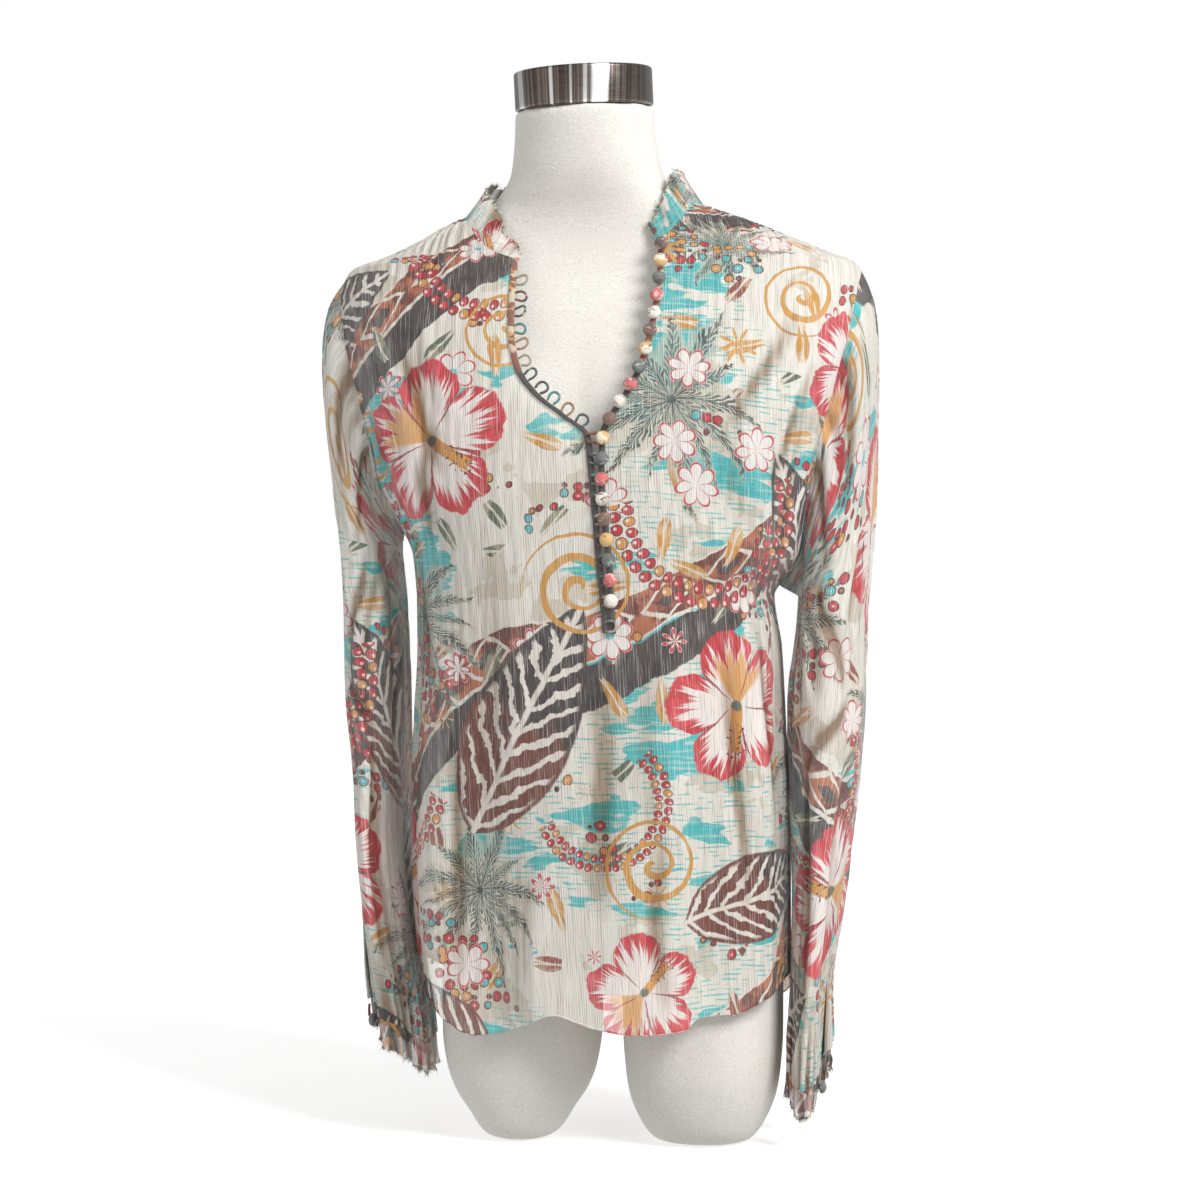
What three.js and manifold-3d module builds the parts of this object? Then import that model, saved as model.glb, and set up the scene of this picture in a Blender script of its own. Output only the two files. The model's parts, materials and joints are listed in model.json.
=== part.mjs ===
// A sheer long-sleeved tunic blouse, worn by a limbless dress form that stands on its two thigh ends.
// Millimetres, +Z up, the blouse faces -Y, and +X is the wearer's left. The origin is the middle of the
// footprint. The blouse is cut as a slit front, a back, two sleeves, a stand collar with a frill, and two
// gathered cuffs with frills. A row of covered buttons and a row of cord loops run up the slit's edges.
import * as THREE from "three";
import { mergeVertices } from "three/addons/utils/BufferGeometryUtils.js";
import Module from "manifold-3d";

const wasm = await Module();
wasm.setup();

// Driving sizes
const CLOTH = 1.0; // wall of every cloth panel
const SETBACK = 0.85; // each panel stops this far short of a seam line
const UNDERARM_SETBACK = 2.6;
const BINDING_WIDTH = 5;
const BINDING_THICK = 1.2;
const BINDING_LIFT = 1.6; // the binding's middle above the panel's middle
const SEAT_GAP = 0.52; // buttons and loops sit this far off the binding's face
const BUTTON_RADIUS = 5.4;
const SHANK_RADIUS = 2;
const BUTTON_PITCH = 15.35;
const OPEN_LOOP_PITCH = 14.3;
const BUTTONS_OPEN = 11;
const BUTTONS_CLOSED = 9;
const LOOP_INSET = 2.4; // a done-up loop starts this far behind the slit's edge
const LOOP_TUBE = 0.9; // radius of the cord that the loops are made of
const COLLAR_HEIGHT = 31;
const COLLAR_WAVES = 17;
const CUFF_HEIGHT = 23;
const CUFF_WAVES = 12;
const FRILL_SHARE = 0.55; // the collar and cuffs are frilled above this share of their height

const LEFT = -1; // the side at -X
const RIGHT = 1;
const QUARTER = Math.PI / 2;
const radians = (degrees) => (degrees * Math.PI) / 180;
const mix = (a, b, share) => a + (b - a) * share;
const clamp = (value, low, high) => Math.min(high, Math.max(low, value));

// A smooth step from 0 at `start` to 1 at `end`.
function ramp(value, start, end) {
  const share = clamp((value - start) / (end - start), 0, 1);
  return share * share * (3 - 2 * share);
}

// The column `name` of a table where its column `by` is `at`, as a curve with no overshoot.
function read(table, by, at, name) {
  const last = table.length - 1;
  if (at <= table[0][by]) return table[0][name];
  if (at >= table[last][by]) return table[last][name];
  let row = 0;
  while (table[row + 1][by] < at) row++;
  const slope = (i) =>
    (table[i + 1][name] - table[i][name]) / (table[i + 1][by] - table[i][by]);
  const tangent = (i) => {
    if (i === 0) return slope(0);
    if (i === last) return slope(last - 1);
    const before = slope(i - 1);
    const after = slope(i);
    return before * after <= 0 ? 0 : (2 * before * after) / (before + after);
  };
  const span = table[row + 1][by] - table[row][by];
  const t = (at - table[row][by]) / span;
  return (
    (2 * t ** 3 - 3 * t ** 2 + 1) * table[row][name] +
    (t ** 3 - 2 * t ** 2 + t) * span * tangent(row) +
    (3 * t ** 2 - 2 * t ** 3) * table[row + 1][name] +
    (t ** 3 - t ** 2) * span * tangent(row + 1)
  );
}

// One point of a rounded ring. Angle 0 is the front, and +90 degrees is +X.
function ringPoint(half, front, back, power, angle) {
  const across = Math.sin(angle);
  const along = Math.cos(angle);
  const depth = along > 0 ? front : back;
  const rounded = (v) => Math.sign(v) * Math.abs(v) ** (2 / power);
  return [half * rounded(across), -depth * rounded(along)];
}

// The dress form: fabric over a hard shell, with a bust, a waist and a neck that leans forward.
const FORM_POWER = 2.3;
const FORM = [
  { z: 118, half: 96, front: 50, back: 58, shiftX: 9, shiftY: 4 },
  { z: 130, half: 124, front: 74, back: 84, shiftX: 8, shiftY: 4 },
  { z: 150, half: 134, front: 83, back: 95, shiftX: 8, shiftY: 4 },
  { z: 190, half: 135, front: 86, back: 103, shiftX: 7, shiftY: 3 },
  { z: 230, half: 134, front: 87, back: 104, shiftX: 5, shiftY: 2 },
  { z: 270, half: 130, front: 87, back: 97, shiftX: 3, shiftY: 0 },
  { z: 310, half: 124, front: 85, back: 86, shiftX: 2, shiftY: 0 },
  { z: 350, half: 116, front: 81, back: 77, shiftX: 1, shiftY: 0 },
  { z: 390, half: 112, front: 78, back: 75, shiftX: 0, shiftY: 0 },
  { z: 430, half: 117, front: 80, back: 81, shiftX: 0, shiftY: 0 },
  { z: 470, half: 127, front: 85, back: 90, shiftX: 0, shiftY: 0 },
  { z: 510, half: 135, front: 91, back: 96, shiftX: 0, shiftY: 0 },
  { z: 550, half: 143, front: 95, back: 99, shiftX: 0, shiftY: 0 },
  { z: 590, half: 153, front: 92, back: 98, shiftX: 0, shiftY: 0 },
  { z: 630, half: 166, front: 82, back: 92, shiftX: 0, shiftY: 0 },
  { z: 660, half: 176, front: 71, back: 82, shiftX: 0, shiftY: 0 },
  { z: 683, half: 180, front: 60, back: 70, shiftX: 0, shiftY: -1 },
  { z: 695, half: 177, front: 56, back: 64, shiftX: 1, shiftY: -2 },
  { z: 703, half: 167, front: 54, back: 60, shiftX: 3, shiftY: -3 },
  { z: 714, half: 142, front: 52, back: 56, shiftX: 3, shiftY: -5 },
  { z: 726, half: 113, front: 51, back: 54, shiftX: 0, shiftY: -8 },
  { z: 738, half: 84, front: 51, back: 53, shiftX: -4, shiftY: -13 },
  { z: 748, half: 71, front: 51, back: 52, shiftX: -6, shiftY: -19 },
  { z: 762, half: 60.5, front: 52, back: 52, shiftX: -6, shiftY: -25 },
  { z: 788, half: 56, front: 53, back: 53, shiftX: -6.5, shiftY: -32 },
  { z: 814, half: 54.5, front: 54, back: 54, shiftX: -6.5, shiftY: -37 },
];
const NECK_TILT = { from: 770, forward: 5, sideways: 2 }; // degrees, at the neck's top
const BUST = { x: 70, z: 552, wide: 50, high: 52, depth: 24 };

function formPoint(angle, z) {
  const size = (name) => read(FORM, "z", z, name);
  const [x, y] = ringPoint(size("half"), size("front"), size("back"), FORM_POWER, angle);
  const nearBust = Math.exp(-(((Math.abs(x) - BUST.x) / BUST.wide) ** 2) - ((z - BUST.z) / BUST.high) ** 2);
  const bust = BUST.depth * nearBust * Math.max(0, Math.cos(angle));
  const tilt = ramp(z, NECK_TILT.from, FORM[FORM.length - 1].z);
  const forward = Math.tan(radians(NECK_TILT.forward)) * y;
  const sideways = Math.tan(radians(NECK_TILT.sideways)) * x;
  return new THREE.Vector3(
    x + size("shiftX"),
    y - bust + size("shiftY"),
    z + tilt * (forward + sideways),
  );
}

// One thigh end: it narrows a little, rounds in and ends in a flat that the form stands on.
const THIGH = [
  { z: 0, right: 22, left: 33, front: 33, back: 35 },
  { z: 3, right: 29, left: 40, front: 42, back: 44 },
  { z: 9, right: 34, left: 45, front: 50, back: 52 },
  { z: 21, right: 41, left: 52, front: 58, back: 60 },
  { z: 37, right: 52, left: 58, front: 65, back: 67 },
  { z: 56, right: 59, left: 61, front: 71, back: 73 },
  { z: 85, right: 63, left: 63, front: 75, back: 79 },
  { z: 120, right: 63, left: 63, front: 78, back: 86 },
  { z: 160, right: 60, left: 60, front: 76, back: 86 },
];
const THIGH_SPREAD = 73;
const THIGH_SHIFT = 10;

// A closed solid through horizontal rings, each a list of points, with flat ends.
function loft(rings) {
  const count = rings[0].length;
  const points = rings.flat();
  const faces = [];
  for (let level = 0; level + 1 < rings.length; level++) {
    for (let i = 0; i < count; i++) {
      const a = level * count + i;
      const b = level * count + ((i + 1) % count);
      faces.push([a, b, b + count], [a, b + count, a + count]);
    }
  }
  const top = (rings.length - 1) * count;
  const middle = (ring) =>
    ring.reduce((sum, p) => sum.add(p), new THREE.Vector3()).divideScalar(ring.length);
  points.push(middle(rings[0]), middle(rings[rings.length - 1]));
  for (let i = 0; i < count; i++) {
    const next = (i + 1) % count;
    faces.push([next, i, points.length - 2], [top + i, top + next, points.length - 1]);
  }
  return geometryOf(points, faces);
}

function geometryOf(points, faces) {
  const geometry = new THREE.BufferGeometry().setFromPoints(points);
  geometry.setIndex(faces.flat());
  return geometry;
}

function solidOf(geometry) {
  const bare = mergeVertices(geometry, 1e-4);
  return new wasm.Manifold(
    new wasm.Mesh({
      numProp: 3,
      vertProperties: new Float32Array(bare.attributes.position.array),
      triVerts: new Uint32Array(bare.index.array),
    }),
  );
}

function geometryFrom(solid) {
  const mesh = solid.getMesh();
  const geometry = new THREE.BufferGeometry();
  geometry.setAttribute("position", new THREE.BufferAttribute(mesh.vertProperties, 3));
  geometry.setIndex(new THREE.BufferAttribute(mesh.triVerts, 1));
  return geometry;
}

// Evenly spaced angles round a ring. They run from -X over the front to +X, so that faces point out.
const ringAngles = (count) => Array.from({ length: count }, (_, i) => (2 * Math.PI * i) / count);

function dressForm() {
  const levels = FORM.map((row) => row.z);
  const torso = loft(levels.map((z) => ringAngles(32).map((angle) => formPoint(angle, z))));
  let whole = solidOf(torso);
  for (const side of [LEFT, RIGHT]) {
    const rings = THIGH.map((row) =>
      ringAngles(18).map((angle) => {
        const half = side === LEFT ? row.right : row.left;
        const [x, y] = ringPoint(half, row.front, row.back, FORM_POWER, angle);
        return new THREE.Vector3(x + THIGH_SHIFT + side * THIGH_SPREAD, y + 3, row.z);
      }),
    );
    whole = whole.add(solidOf(loft(rings)));
  }
  return geometryFrom(whole);
}

// The metal cap on the neck, tipped forward and a little to the wearer's right.
const CAP = { radius: 54.5, height: 30, edge: 3, gap: 0.35 };

function neckCap() {
  const profile = [
    [0, 0],
    [CAP.radius - 1, 0],
    [CAP.radius, 1],
    [CAP.radius, CAP.height - CAP.edge],
    [CAP.radius - CAP.edge * 0.3, CAP.height - CAP.edge * 0.3],
    [CAP.radius - CAP.edge, CAP.height],
    [0, CAP.height],
  ].map(([r, h]) => new THREE.Vector2(r, h));
  const geometry = new THREE.LatheGeometry(profile, 32);
  geometry.deleteAttribute("normal");
  geometry.deleteAttribute("uv");
  return mergeVertices(geometry.rotateX(QUARTER), 1e-3);
}

// The blouse's body as rings, as if its armholes were filled. Left and right are the wearer's sides at -X
// and +X. The rings narrow above the shoulder tips, so their ends at +-90 degrees form the shoulder seams.
const BODY_POWER = 2.45;
const BODY = [
  { z: 70, left: 137, right: 152, front: 112, back: 120 },
  { z: 130, left: 144, right: 152, front: 112, back: 121 },
  { z: 180, left: 149, right: 152, front: 113, back: 121 },
  { z: 220, left: 151, right: 152, front: 114, back: 120 },
  { z: 270, left: 150, right: 151, front: 117, back: 117 },
  { z: 330, left: 146.5, right: 148, front: 119, back: 113 },
  { z: 390, left: 143, right: 145, front: 121, back: 109 },
  { z: 432, left: 144, right: 139, front: 123, back: 107 },
  { z: 440, left: 145, right: 143, front: 123, back: 107 },
  { z: 450, left: 146, right: 153, front: 124, back: 107 },
  { z: 465, left: 148, right: 164, front: 124, back: 107 },
  { z: 495, left: 163, right: 170, front: 124, back: 108 },
  { z: 525, left: 180, right: 179, front: 123, back: 109 },
  { z: 560, left: 191, right: 190, front: 120, back: 110 },
  { z: 600, left: 203, right: 202, front: 109, back: 109 },
  { z: 640, left: 212, right: 211, front: 95, back: 101 },
  { z: 668, left: 212, right: 212, front: 82, back: 91 },
  { z: 684, left: 208, right: 210, front: 73, back: 82 },
  { z: 693, left: 202, right: 204, front: 69, back: 78 },
  { z: 703, left: 173, right: 180, front: 66, back: 72 },
  { z: 714, left: 147, right: 154, front: 65, back: 67 },
  { z: 726, left: 121, right: 123, front: 65, back: 63 },
  { z: 738, left: 95, right: 89, front: 65, back: 59 },
  { z: 741, left: 90, right: 84, front: 65, back: 58 },
  { z: 752, left: 77, right: 70, front: 65, back: 57 },
];
const BODY_SHIFT = [
  { z: 690, y: 0 },
  { z: 738, y: -8 },
];

// The body's largest folds. Each runs down the cloth from `top` to `foot`, where it has its full depth.
const BODY_FOLDS = [
  { angle: -47, top: 500, foot: 120, wide: 9, depth: 9 },
  { angle: -24, top: 430, foot: 100, wide: 10, depth: -11 },
  { angle: 13, top: 400, foot: 110, wide: 13, depth: 6 },
  { angle: 38, top: 460, foot: 120, wide: 9, depth: -9 },
  { angle: 62, top: 480, foot: 150, wide: 8, depth: 7 },
  { angle: -72, top: 470, foot: 200, wide: 7, depth: -7 },
  { angle: 118, top: 560, foot: 160, wide: 9, depth: 8 },
  { angle: 142, top: 600, foot: 140, wide: 9, depth: -8 },
  { angle: 168, top: 560, foot: 120, wide: 11, depth: 8 },
  { angle: -160, top: 590, foot: 120, wide: 10, depth: -8 },
  { angle: -137, top: 560, foot: 140, wide: 9, depth: 8 },
  { angle: -113, top: 520, foot: 170, wide: 8, depth: -6 },
];

function foldDepth(angle, z) {
  let depth = 0;
  for (const fold of BODY_FOLDS) {
    const turn = Math.atan2(Math.sin(angle - radians(fold.angle)), Math.cos(angle - radians(fold.angle)));
    const across = Math.exp(-((turn / radians(fold.wide)) ** 2));
    depth += fold.depth * across * ramp(z, fold.top, fold.foot);
  }
  return depth;
}

function bodyPoint(angle, z) {
  const size = (name) => read(BODY, "z", z, name);
  const half = size(Math.sin(angle) < 0 ? "left" : "right");
  const front = size("front");
  const back = size("back");
  const [x, y] = ringPoint(half, front, back, BODY_POWER, angle);
  const depth = y < 0 ? front : back;
  const outward = new THREE.Vector3(x / half ** 2, y / depth ** 2, 0).normalize();
  return new THREE.Vector3(x, y + read(BODY_SHIFT, "z", z, "y"), z).addScaledVector(
    outward,
    foldDepth(angle, z),
  );
}

// The ring angle at which the front of the body lies at `x`.
function angleAt(x, z) {
  const half = read(BODY, "z", z, x < 0 ? "left" : "right");
  return Math.sign(x) * Math.asin(clamp(Math.abs(x) / half, 0, 1) ** (BODY_POWER / 2));
}

// The front's edges. `share` runs from the hem, 0, to the shoulder seam, 1. The outer edge is the side seam
// and then the armhole, as a ring angle and a height.
const UNDERARM = 0.55;
const FRONT_OUTER = {
  [LEFT]: [
    { share: 0, angle: 90, z: 140 },
    { share: UNDERARM, angle: 90, z: 489 },
    { share: 0.6, angle: 80, z: 498 },
    { share: 0.68, angle: 73, z: 526 },
    { share: 0.78, angle: 66, z: 566 },
    { share: 0.88, angle: 67, z: 622 },
    { share: 0.95, angle: 76, z: 670 },
    { share: 1, angle: 90, z: 693 },
  ],
  [RIGHT]: [
    { share: 0, angle: 90, z: 134 },
    { share: UNDERARM, angle: 90, z: 440 },
    { share: 0.6, angle: 84, z: 457 },
    { share: 0.68, angle: 77, z: 502 },
    { share: 0.78, angle: 71, z: 560 },
    { share: 0.88, angle: 70, z: 620 },
    { share: 0.95, angle: 76, z: 669 },
    { share: 1, angle: 90, z: 693 },
  ],
};
const BACK_OUTER = {
  [LEFT]: [
    { share: 0, angle: 90, z: 140 },
    { share: UNDERARM, angle: 90, z: 489 },
    { share: 0.6, angle: 100, z: 498 },
    { share: 0.68, angle: 107, z: 526 },
    { share: 0.78, angle: 112, z: 566 },
    { share: 0.88, angle: 111, z: 622 },
    { share: 0.95, angle: 103, z: 670 },
    { share: 1, angle: 90, z: 693 },
  ],
  [RIGHT]: [
    { share: 0, angle: 90, z: 134 },
    { share: UNDERARM, angle: 90, z: 440 },
    { share: 0.6, angle: 96, z: 457 },
    { share: 0.68, angle: 104, z: 502 },
    { share: 0.78, angle: 111, z: 560 },
    { share: 0.88, angle: 111, z: 620 },
    { share: 0.95, angle: 103, z: 669 },
    { share: 1, angle: 90, z: 693 },
  ],
};

// The front's inner edge: the centre line below the slit, the slit's edge, and above `NECK` the neck seam.
const SLIT_FOOT = 0.44;
const NECK = 0.925;
const FRONT_INNER = {
  [LEFT]: [
    { share: 0, x: 20, z: 102 },
    { share: SLIT_FOOT, x: 26, z: 400 },
    { share: 0.5, x: 22, z: 452 },
    { share: 0.6, x: 16, z: 520 },
    { share: 0.66, x: 12, z: 552 },
    { share: 0.7, x: -7, z: 568 },
    { share: 0.74, x: -28, z: 584 },
    { share: 0.79, x: -43.5, z: 604 },
    { share: 0.85, x: -51, z: 632 },
    { share: 0.89, x: -53, z: 662 },
    { share: NECK, x: -54, z: 690 },
    { share: 0.965, x: -78, z: 703 },
    { share: 0.98, x: -92, z: 718 },
    { share: 0.99, x: -98.5, z: 727 },
    { share: 1, x: -103, z: 734 },
  ],
  [RIGHT]: [
    { share: 0, x: 20, z: 102 },
    { share: SLIT_FOOT, x: 26, z: 400 },
    { share: 0.5, x: 24.2, z: 452 },
    { share: 0.6, x: 18.2, z: 520 },
    { share: 0.66, x: 19, z: 554 },
    { share: 0.7, x: 29, z: 574 },
    { share: 0.74, x: 38.5, z: 590 },
    { share: 0.79, x: 46, z: 608 },
    { share: 0.85, x: 53, z: 640 },
    { share: 0.89, x: 56, z: 672 },
    { share: NECK, x: 56, z: 703 },
    { share: 0.965, x: 68, z: 716 },
    { share: 0.98, x: 76, z: 726 },
    { share: 0.99, x: 80.5, z: 734 },
    { share: 1, x: 84, z: 741 },
  ],
};
const NECK_SEAM_BACK = 735; // height of the neck seam at the centre back

// The hem's height round the body by ring angle: it ripples in front and rises at the side seams.
const HEM = [
  { angle: -180, z: 96 },
  { angle: -160, z: 93 },
  { angle: -140, z: 96 },
  { angle: -118, z: 112 },
  { angle: -104, z: 130 },
  { angle: -90, z: 140 },
  { angle: -66, z: 139 },
  { angle: -53, z: 131 },
  { angle: -45, z: 108 },
  { angle: -33, z: 93 },
  { angle: -24, z: 95 },
  { angle: -14, z: 102 },
  { angle: -4, z: 112 },
  { angle: 3, z: 103 },
  { angle: 12, z: 99 },
  { angle: 27, z: 101 },
  { angle: 34, z: 110 },
  { angle: 47, z: 111 },
  { angle: 59, z: 121 },
  { angle: 74, z: 131 },
  { angle: 90, z: 134 },
  { angle: 106, z: 124 },
  { angle: 122, z: 106 },
  { angle: 142, z: 94 },
  { angle: 162, z: 93 },
  { angle: 180, z: 96 },
];
const hemHeight = (angle) => read(HEM, "angle", (angle * 180) / Math.PI, "z");

// One half of the front or back: rows from the hem to the shoulder, columns from the outer edge inwards.
function panelHalf(side, outer, innerAt, shares, columns) {
  return shares.map((share) => {
    const edge = radians(read(outer[side], "share", share, "angle")) * side;
    const edgeZ = read(outer[side], "share", share, "z");
    const inner = innerAt(share);
    const foot = read(outer[side], "share", 0, "z");
    return Array.from({ length: columns + 1 }, (_, column) => {
      const t = column / columns;
      const angle = mix(edge, inner.angle, t);
      const level = mix(edgeZ, inner.z, t);
      const straightHem = mix(foot, innerAt(0).z, t);
      const hem = hemHeight(angle);
      const fade = 1 - ramp(share, 0, UNDERARM);
      return bodyPoint(angle, level + (hem - straightHem) * fade);
    });
  });
}

// How far a panel stops short of the armhole: more at the underarm, where the two panels fold together.
const armholeSetback = (share) => mix(UNDERARM_SETBACK, SETBACK, ramp(share, UNDERARM, 0.8));
const outerSetback = (share) => (share < UNDERARM ? SETBACK : armholeSetback(share));

// Moves the point `from` towards `to` by `distance`.
const shifted = (from, to, distance) =>
  from.clone().add(to.clone().sub(from).normalize().multiplyScalar(distance));

// Gives a surface its thickness. `cells` are quads of point numbers, counter-clockwise from outside.
function thicken(points, cells, thickness) {
  const normals = points.map(() => new THREE.Vector3());
  const triangles = [];
  for (const [a, b, c, d] of cells) triangles.push([a, b, c], [a, c, d]);
  const rim = new Map();
  for (const triangle of triangles) {
    const [a, b, c] = triangle.map((i) => points[i]);
    const area = b.clone().sub(a).cross(c.clone().sub(a));
    for (const i of triangle) normals[i].add(area);
    for (let k = 0; k < 3; k++) {
      const from = triangle[k];
      const to = triangle[(k + 1) % 3];
      if (!rim.delete(to + "_" + from)) rim.set(from + "_" + to, [from, to]);
    }
  }
  normals.forEach((n) => n.normalize());
  const count = points.length;
  const outer = points.map((p, i) => p.clone().addScaledVector(normals[i], thickness / 2));
  const inner = points.map((p, i) => p.clone().addScaledVector(normals[i], -thickness / 2));
  const faces = [];
  for (const [a, b, c] of triangles) faces.push([a, b, c], [a + count, c + count, b + count]);
  for (const [from, to] of rim.values()) {
    faces.push([to, from, from + count], [to, from + count, to + count]);
  }
  return geometryOf([...outer, ...inner], faces);
}

// Joins grids of points into one surface, with points at the same place shared.
function surface(grids, flip = []) {
  const points = [];
  const known = new Map();
  const cells = [];
  const numberOf = (p) => {
    const key = [p.x, p.y, p.z].map((v) => Math.round(v * 1000)).join(" ");
    if (!known.has(key)) {
      known.set(key, points.length);
      points.push(p);
    }
    return known.get(key);
  };
  grids.forEach((grid, g) => {
    for (let row = 0; row + 1 < grid.length; row++) {
      for (let column = 0; column + 1 < grid[row].length; column++) {
        const corners = [
          grid[row][column],
          grid[row][column + 1],
          grid[row + 1][column + 1],
          grid[row + 1][column],
        ].map(numberOf);
        cells.push(flip[g] ? corners.reverse() : corners);
      }
    }
  });
  return { points, cells };
}

// Rows beside the armhole. The sleeve's columns end on the same points of the seam line.
const ARMHOLE_STEPS = 12;
const ARMHOLE_SHARES = Array.from({ length: ARMHOLE_STEPS + 1 }, (_, i) =>
  mix(UNDERARM, 1, i / ARMHOLE_STEPS),
);
const FRONT_SHARES = [0, 0.04, 0.1, 0.17, 0.24, 0.31, 0.38, SLIT_FOOT, 0.5]
  .concat(ARMHOLE_SHARES.slice(0, -1))
  .concat([0.98, 0.99, 1]);

// The seam edges stop short of their seam lines, so that neighbouring panels stay apart.
function trimEdges(half, sharesOf, slitFoot) {
  const last = half[0].length - 1;
  const top = half.length - 1;
  const outerEdge = half.map((row, i) => shifted(row[0], row[1], outerSetback(sharesOf[i])));
  const innerEdge = half.map((row) => shifted(row[last], row[last - 1], SETBACK));
  const topEdge = half[top].map((p, i) => shifted(p, half[top - 1][i], SETBACK));
  half.forEach((row, i) => {
    row[0] = outerEdge[i];
    if (sharesOf[i] > slitFoot) row[last] = innerEdge[i];
  });
  topEdge.forEach((p, i) => {
    if (i > 0 && i < last) half[top][i] = p;
  });
  half[top][0] = shifted(half[top][0], half[top - 1][0], SETBACK);
  half[top][last] = shifted(half[top][last], half[top - 1][last], SETBACK);
  return half;
}

function frontHalf(side) {
  const innerAt = (share) => {
    const x = read(FRONT_INNER[side], "share", share, "x");
    const z = read(FRONT_INNER[side], "share", share, "z");
    return { angle: angleAt(x, z), z };
  };
  return panelHalf(side, FRONT_OUTER, innerAt, FRONT_SHARES, FRONT_COLUMNS);
}

const FRONT_COLUMNS = 12;
const FRONT_GRID = { [LEFT]: frontHalf(LEFT), [RIGHT]: frontHalf(RIGHT) };

function frontPanel() {
  const halves = [LEFT, RIGHT].map((side) =>
    trimEdges(
      FRONT_GRID[side].map((row) => row.map((p) => p.clone())),
      FRONT_SHARES,
      SLIT_FOOT,
    ),
  );
  const { points, cells } = surface(halves, [false, true]);
  return thicken(points, cells, CLOTH);
}

const BACK_SHARES = [0, 0.05, 0.13, 0.21, 0.3, 0.39, 0.47].concat(ARMHOLE_SHARES);

// Above the yoke line the back's rows turn from level to the slope of the shoulder.
const YOKE = 0.85;
const YOKE_Z = 680;

function backPanel() {
  const halves = [LEFT, RIGHT].map((side) => {
    const innerAt = (share) => ({
      angle: side * Math.PI,
      z: mix(hemHeight(Math.PI), YOKE_Z, Math.min(share / YOKE, 1)),
    });
    const half = panelHalf(side, BACK_OUTER, innerAt, BACK_SHARES, 11);
    return backShoulder(half, side);
  });
  const { points, cells } = surface(halves, [true, false]);
  return thicken(points, cells, CLOTH);
}

// Bends the back's upper rows so that the top one runs along the shoulder seam and then the neck seam.
function backShoulder(half, side) {
  const top = half.length - 1;
  const last = half[top].length - 1;
  const seamColumns = 6; // columns that lie along the shoulder seam
  const edgeAt = (share) => ({
    angle: radians(read(BACK_OUTER[side], "share", share, "angle")) * side,
    z: read(BACK_OUTER[side], "share", share, "z"),
  });
  const neckZ = read(FRONT_INNER[side], "share", 1, "z");
  const tip = edgeAt(1);
  const foot = edgeAt(YOKE);
  BACK_SHARES.forEach((share, row) => {
    if (share <= YOKE) return;
    const lift = (share - YOKE) / (1 - YOKE);
    const edge = edgeAt(share);
    half[row] = half[row].map((_, column) => {
      const along = clamp(column / seamColumns, 0, 1);
      const round = clamp((column - seamColumns) / (last - seamColumns), 0, 1);
      const t = column / last;
      const seamAngle = mix(tip.angle, Math.PI * side, round);
      const seamZ = mix(mix(tip.z, neckZ, along), NECK_SEAM_BACK, round);
      const angle = mix(mix(foot.angle, Math.PI * side, t), seamAngle, lift);
      const z = mix(mix(foot.z, YOKE_Z, t), seamZ, lift);
      const offAngle = edge.angle - mix(foot.angle, tip.angle, lift);
      const offZ = edge.z - mix(foot.z, tip.z, lift);
      return bodyPoint(angle + (1 - t) * offAngle, z + (1 - t) * offZ);
    });
  });
  half.forEach((row, i) => {
    row[0] = shifted(row[0], row[1], outerSetback(BACK_SHARES[i]));
  });
  half[top] = half[top].map((p, i) => shifted(p, half[top - 1][i], SETBACK));
  return half;
}

// The armhole's seam line. `turn` runs from the shoulder tip, 0, down the front to the underarm, 0.5, and up
// the back to 1.
function armholePoint(side, turn) {
  const down = turn <= 0.5 ? turn * 2 : 2 - turn * 2;
  const table = (turn <= 0.5 ? FRONT_OUTER : BACK_OUTER)[side];
  const share = mix(1, UNDERARM, down);
  const angle = radians(read(table, "share", share, "angle")) * side;
  return bodyPoint(angle, read(table, "share", share, "z"));
}

// The sleeves hang flat beside the body, as rings given by their inner and outer X, front and back Y.
const SLEEVE = {
  [LEFT]: [
    { z: 50, inner: 137, outer: 177, front: -46, back: 34 },
    { z: 78, inner: 138, outer: 179, front: -47, back: 35 },
    { z: 106, inner: 141, outer: 183, front: -48, back: 36 },
    { z: 135, inner: 147, outer: 187, front: -50, back: 40 },
    { z: 180, inner: 155, outer: 190, front: -52, back: 46 },
    { z: 240, inner: 161, outer: 195, front: -52, back: 50 },
    { z: 300, inner: 161, outer: 199, front: -52, back: 54 },
    { z: 350, inner: 161, outer: 205, front: -52, back: 58 },
    { z: 430, inner: 164, outer: 206.5, front: -52, back: 60 },
    { z: 468, inner: 168, outer: 208, front: -52, back: 60 },
  ],
  [RIGHT]: [
    { z: 14, inner: 154, outer: 177, front: -40, back: 32 },
    { z: 42, inner: 151, outer: 181, front: -45, back: 34 },
    { z: 74, inner: 151, outer: 184, front: -48, back: 36 },
    { z: 130, inner: 154, outer: 186, front: -50, back: 40 },
    { z: 190, inner: 155, outer: 193, front: -52, back: 46 },
    { z: 240, inner: 154, outer: 199, front: -52, back: 50 },
    { z: 320, inner: 152.5, outer: 210, front: -52, back: 56 },
    { z: 364, inner: 154, outer: 212, front: -52, back: 58 },
    { z: 400, inner: 159, outer: 212, front: -52, back: 60 },
    { z: 430, inner: 161, outer: 213, front: -52, back: 60 },
  ],
};
const SLEEVE_TOP = { [LEFT]: 468, [RIGHT]: 430 };
const SLEEVE_POWER = 2.6;
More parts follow.
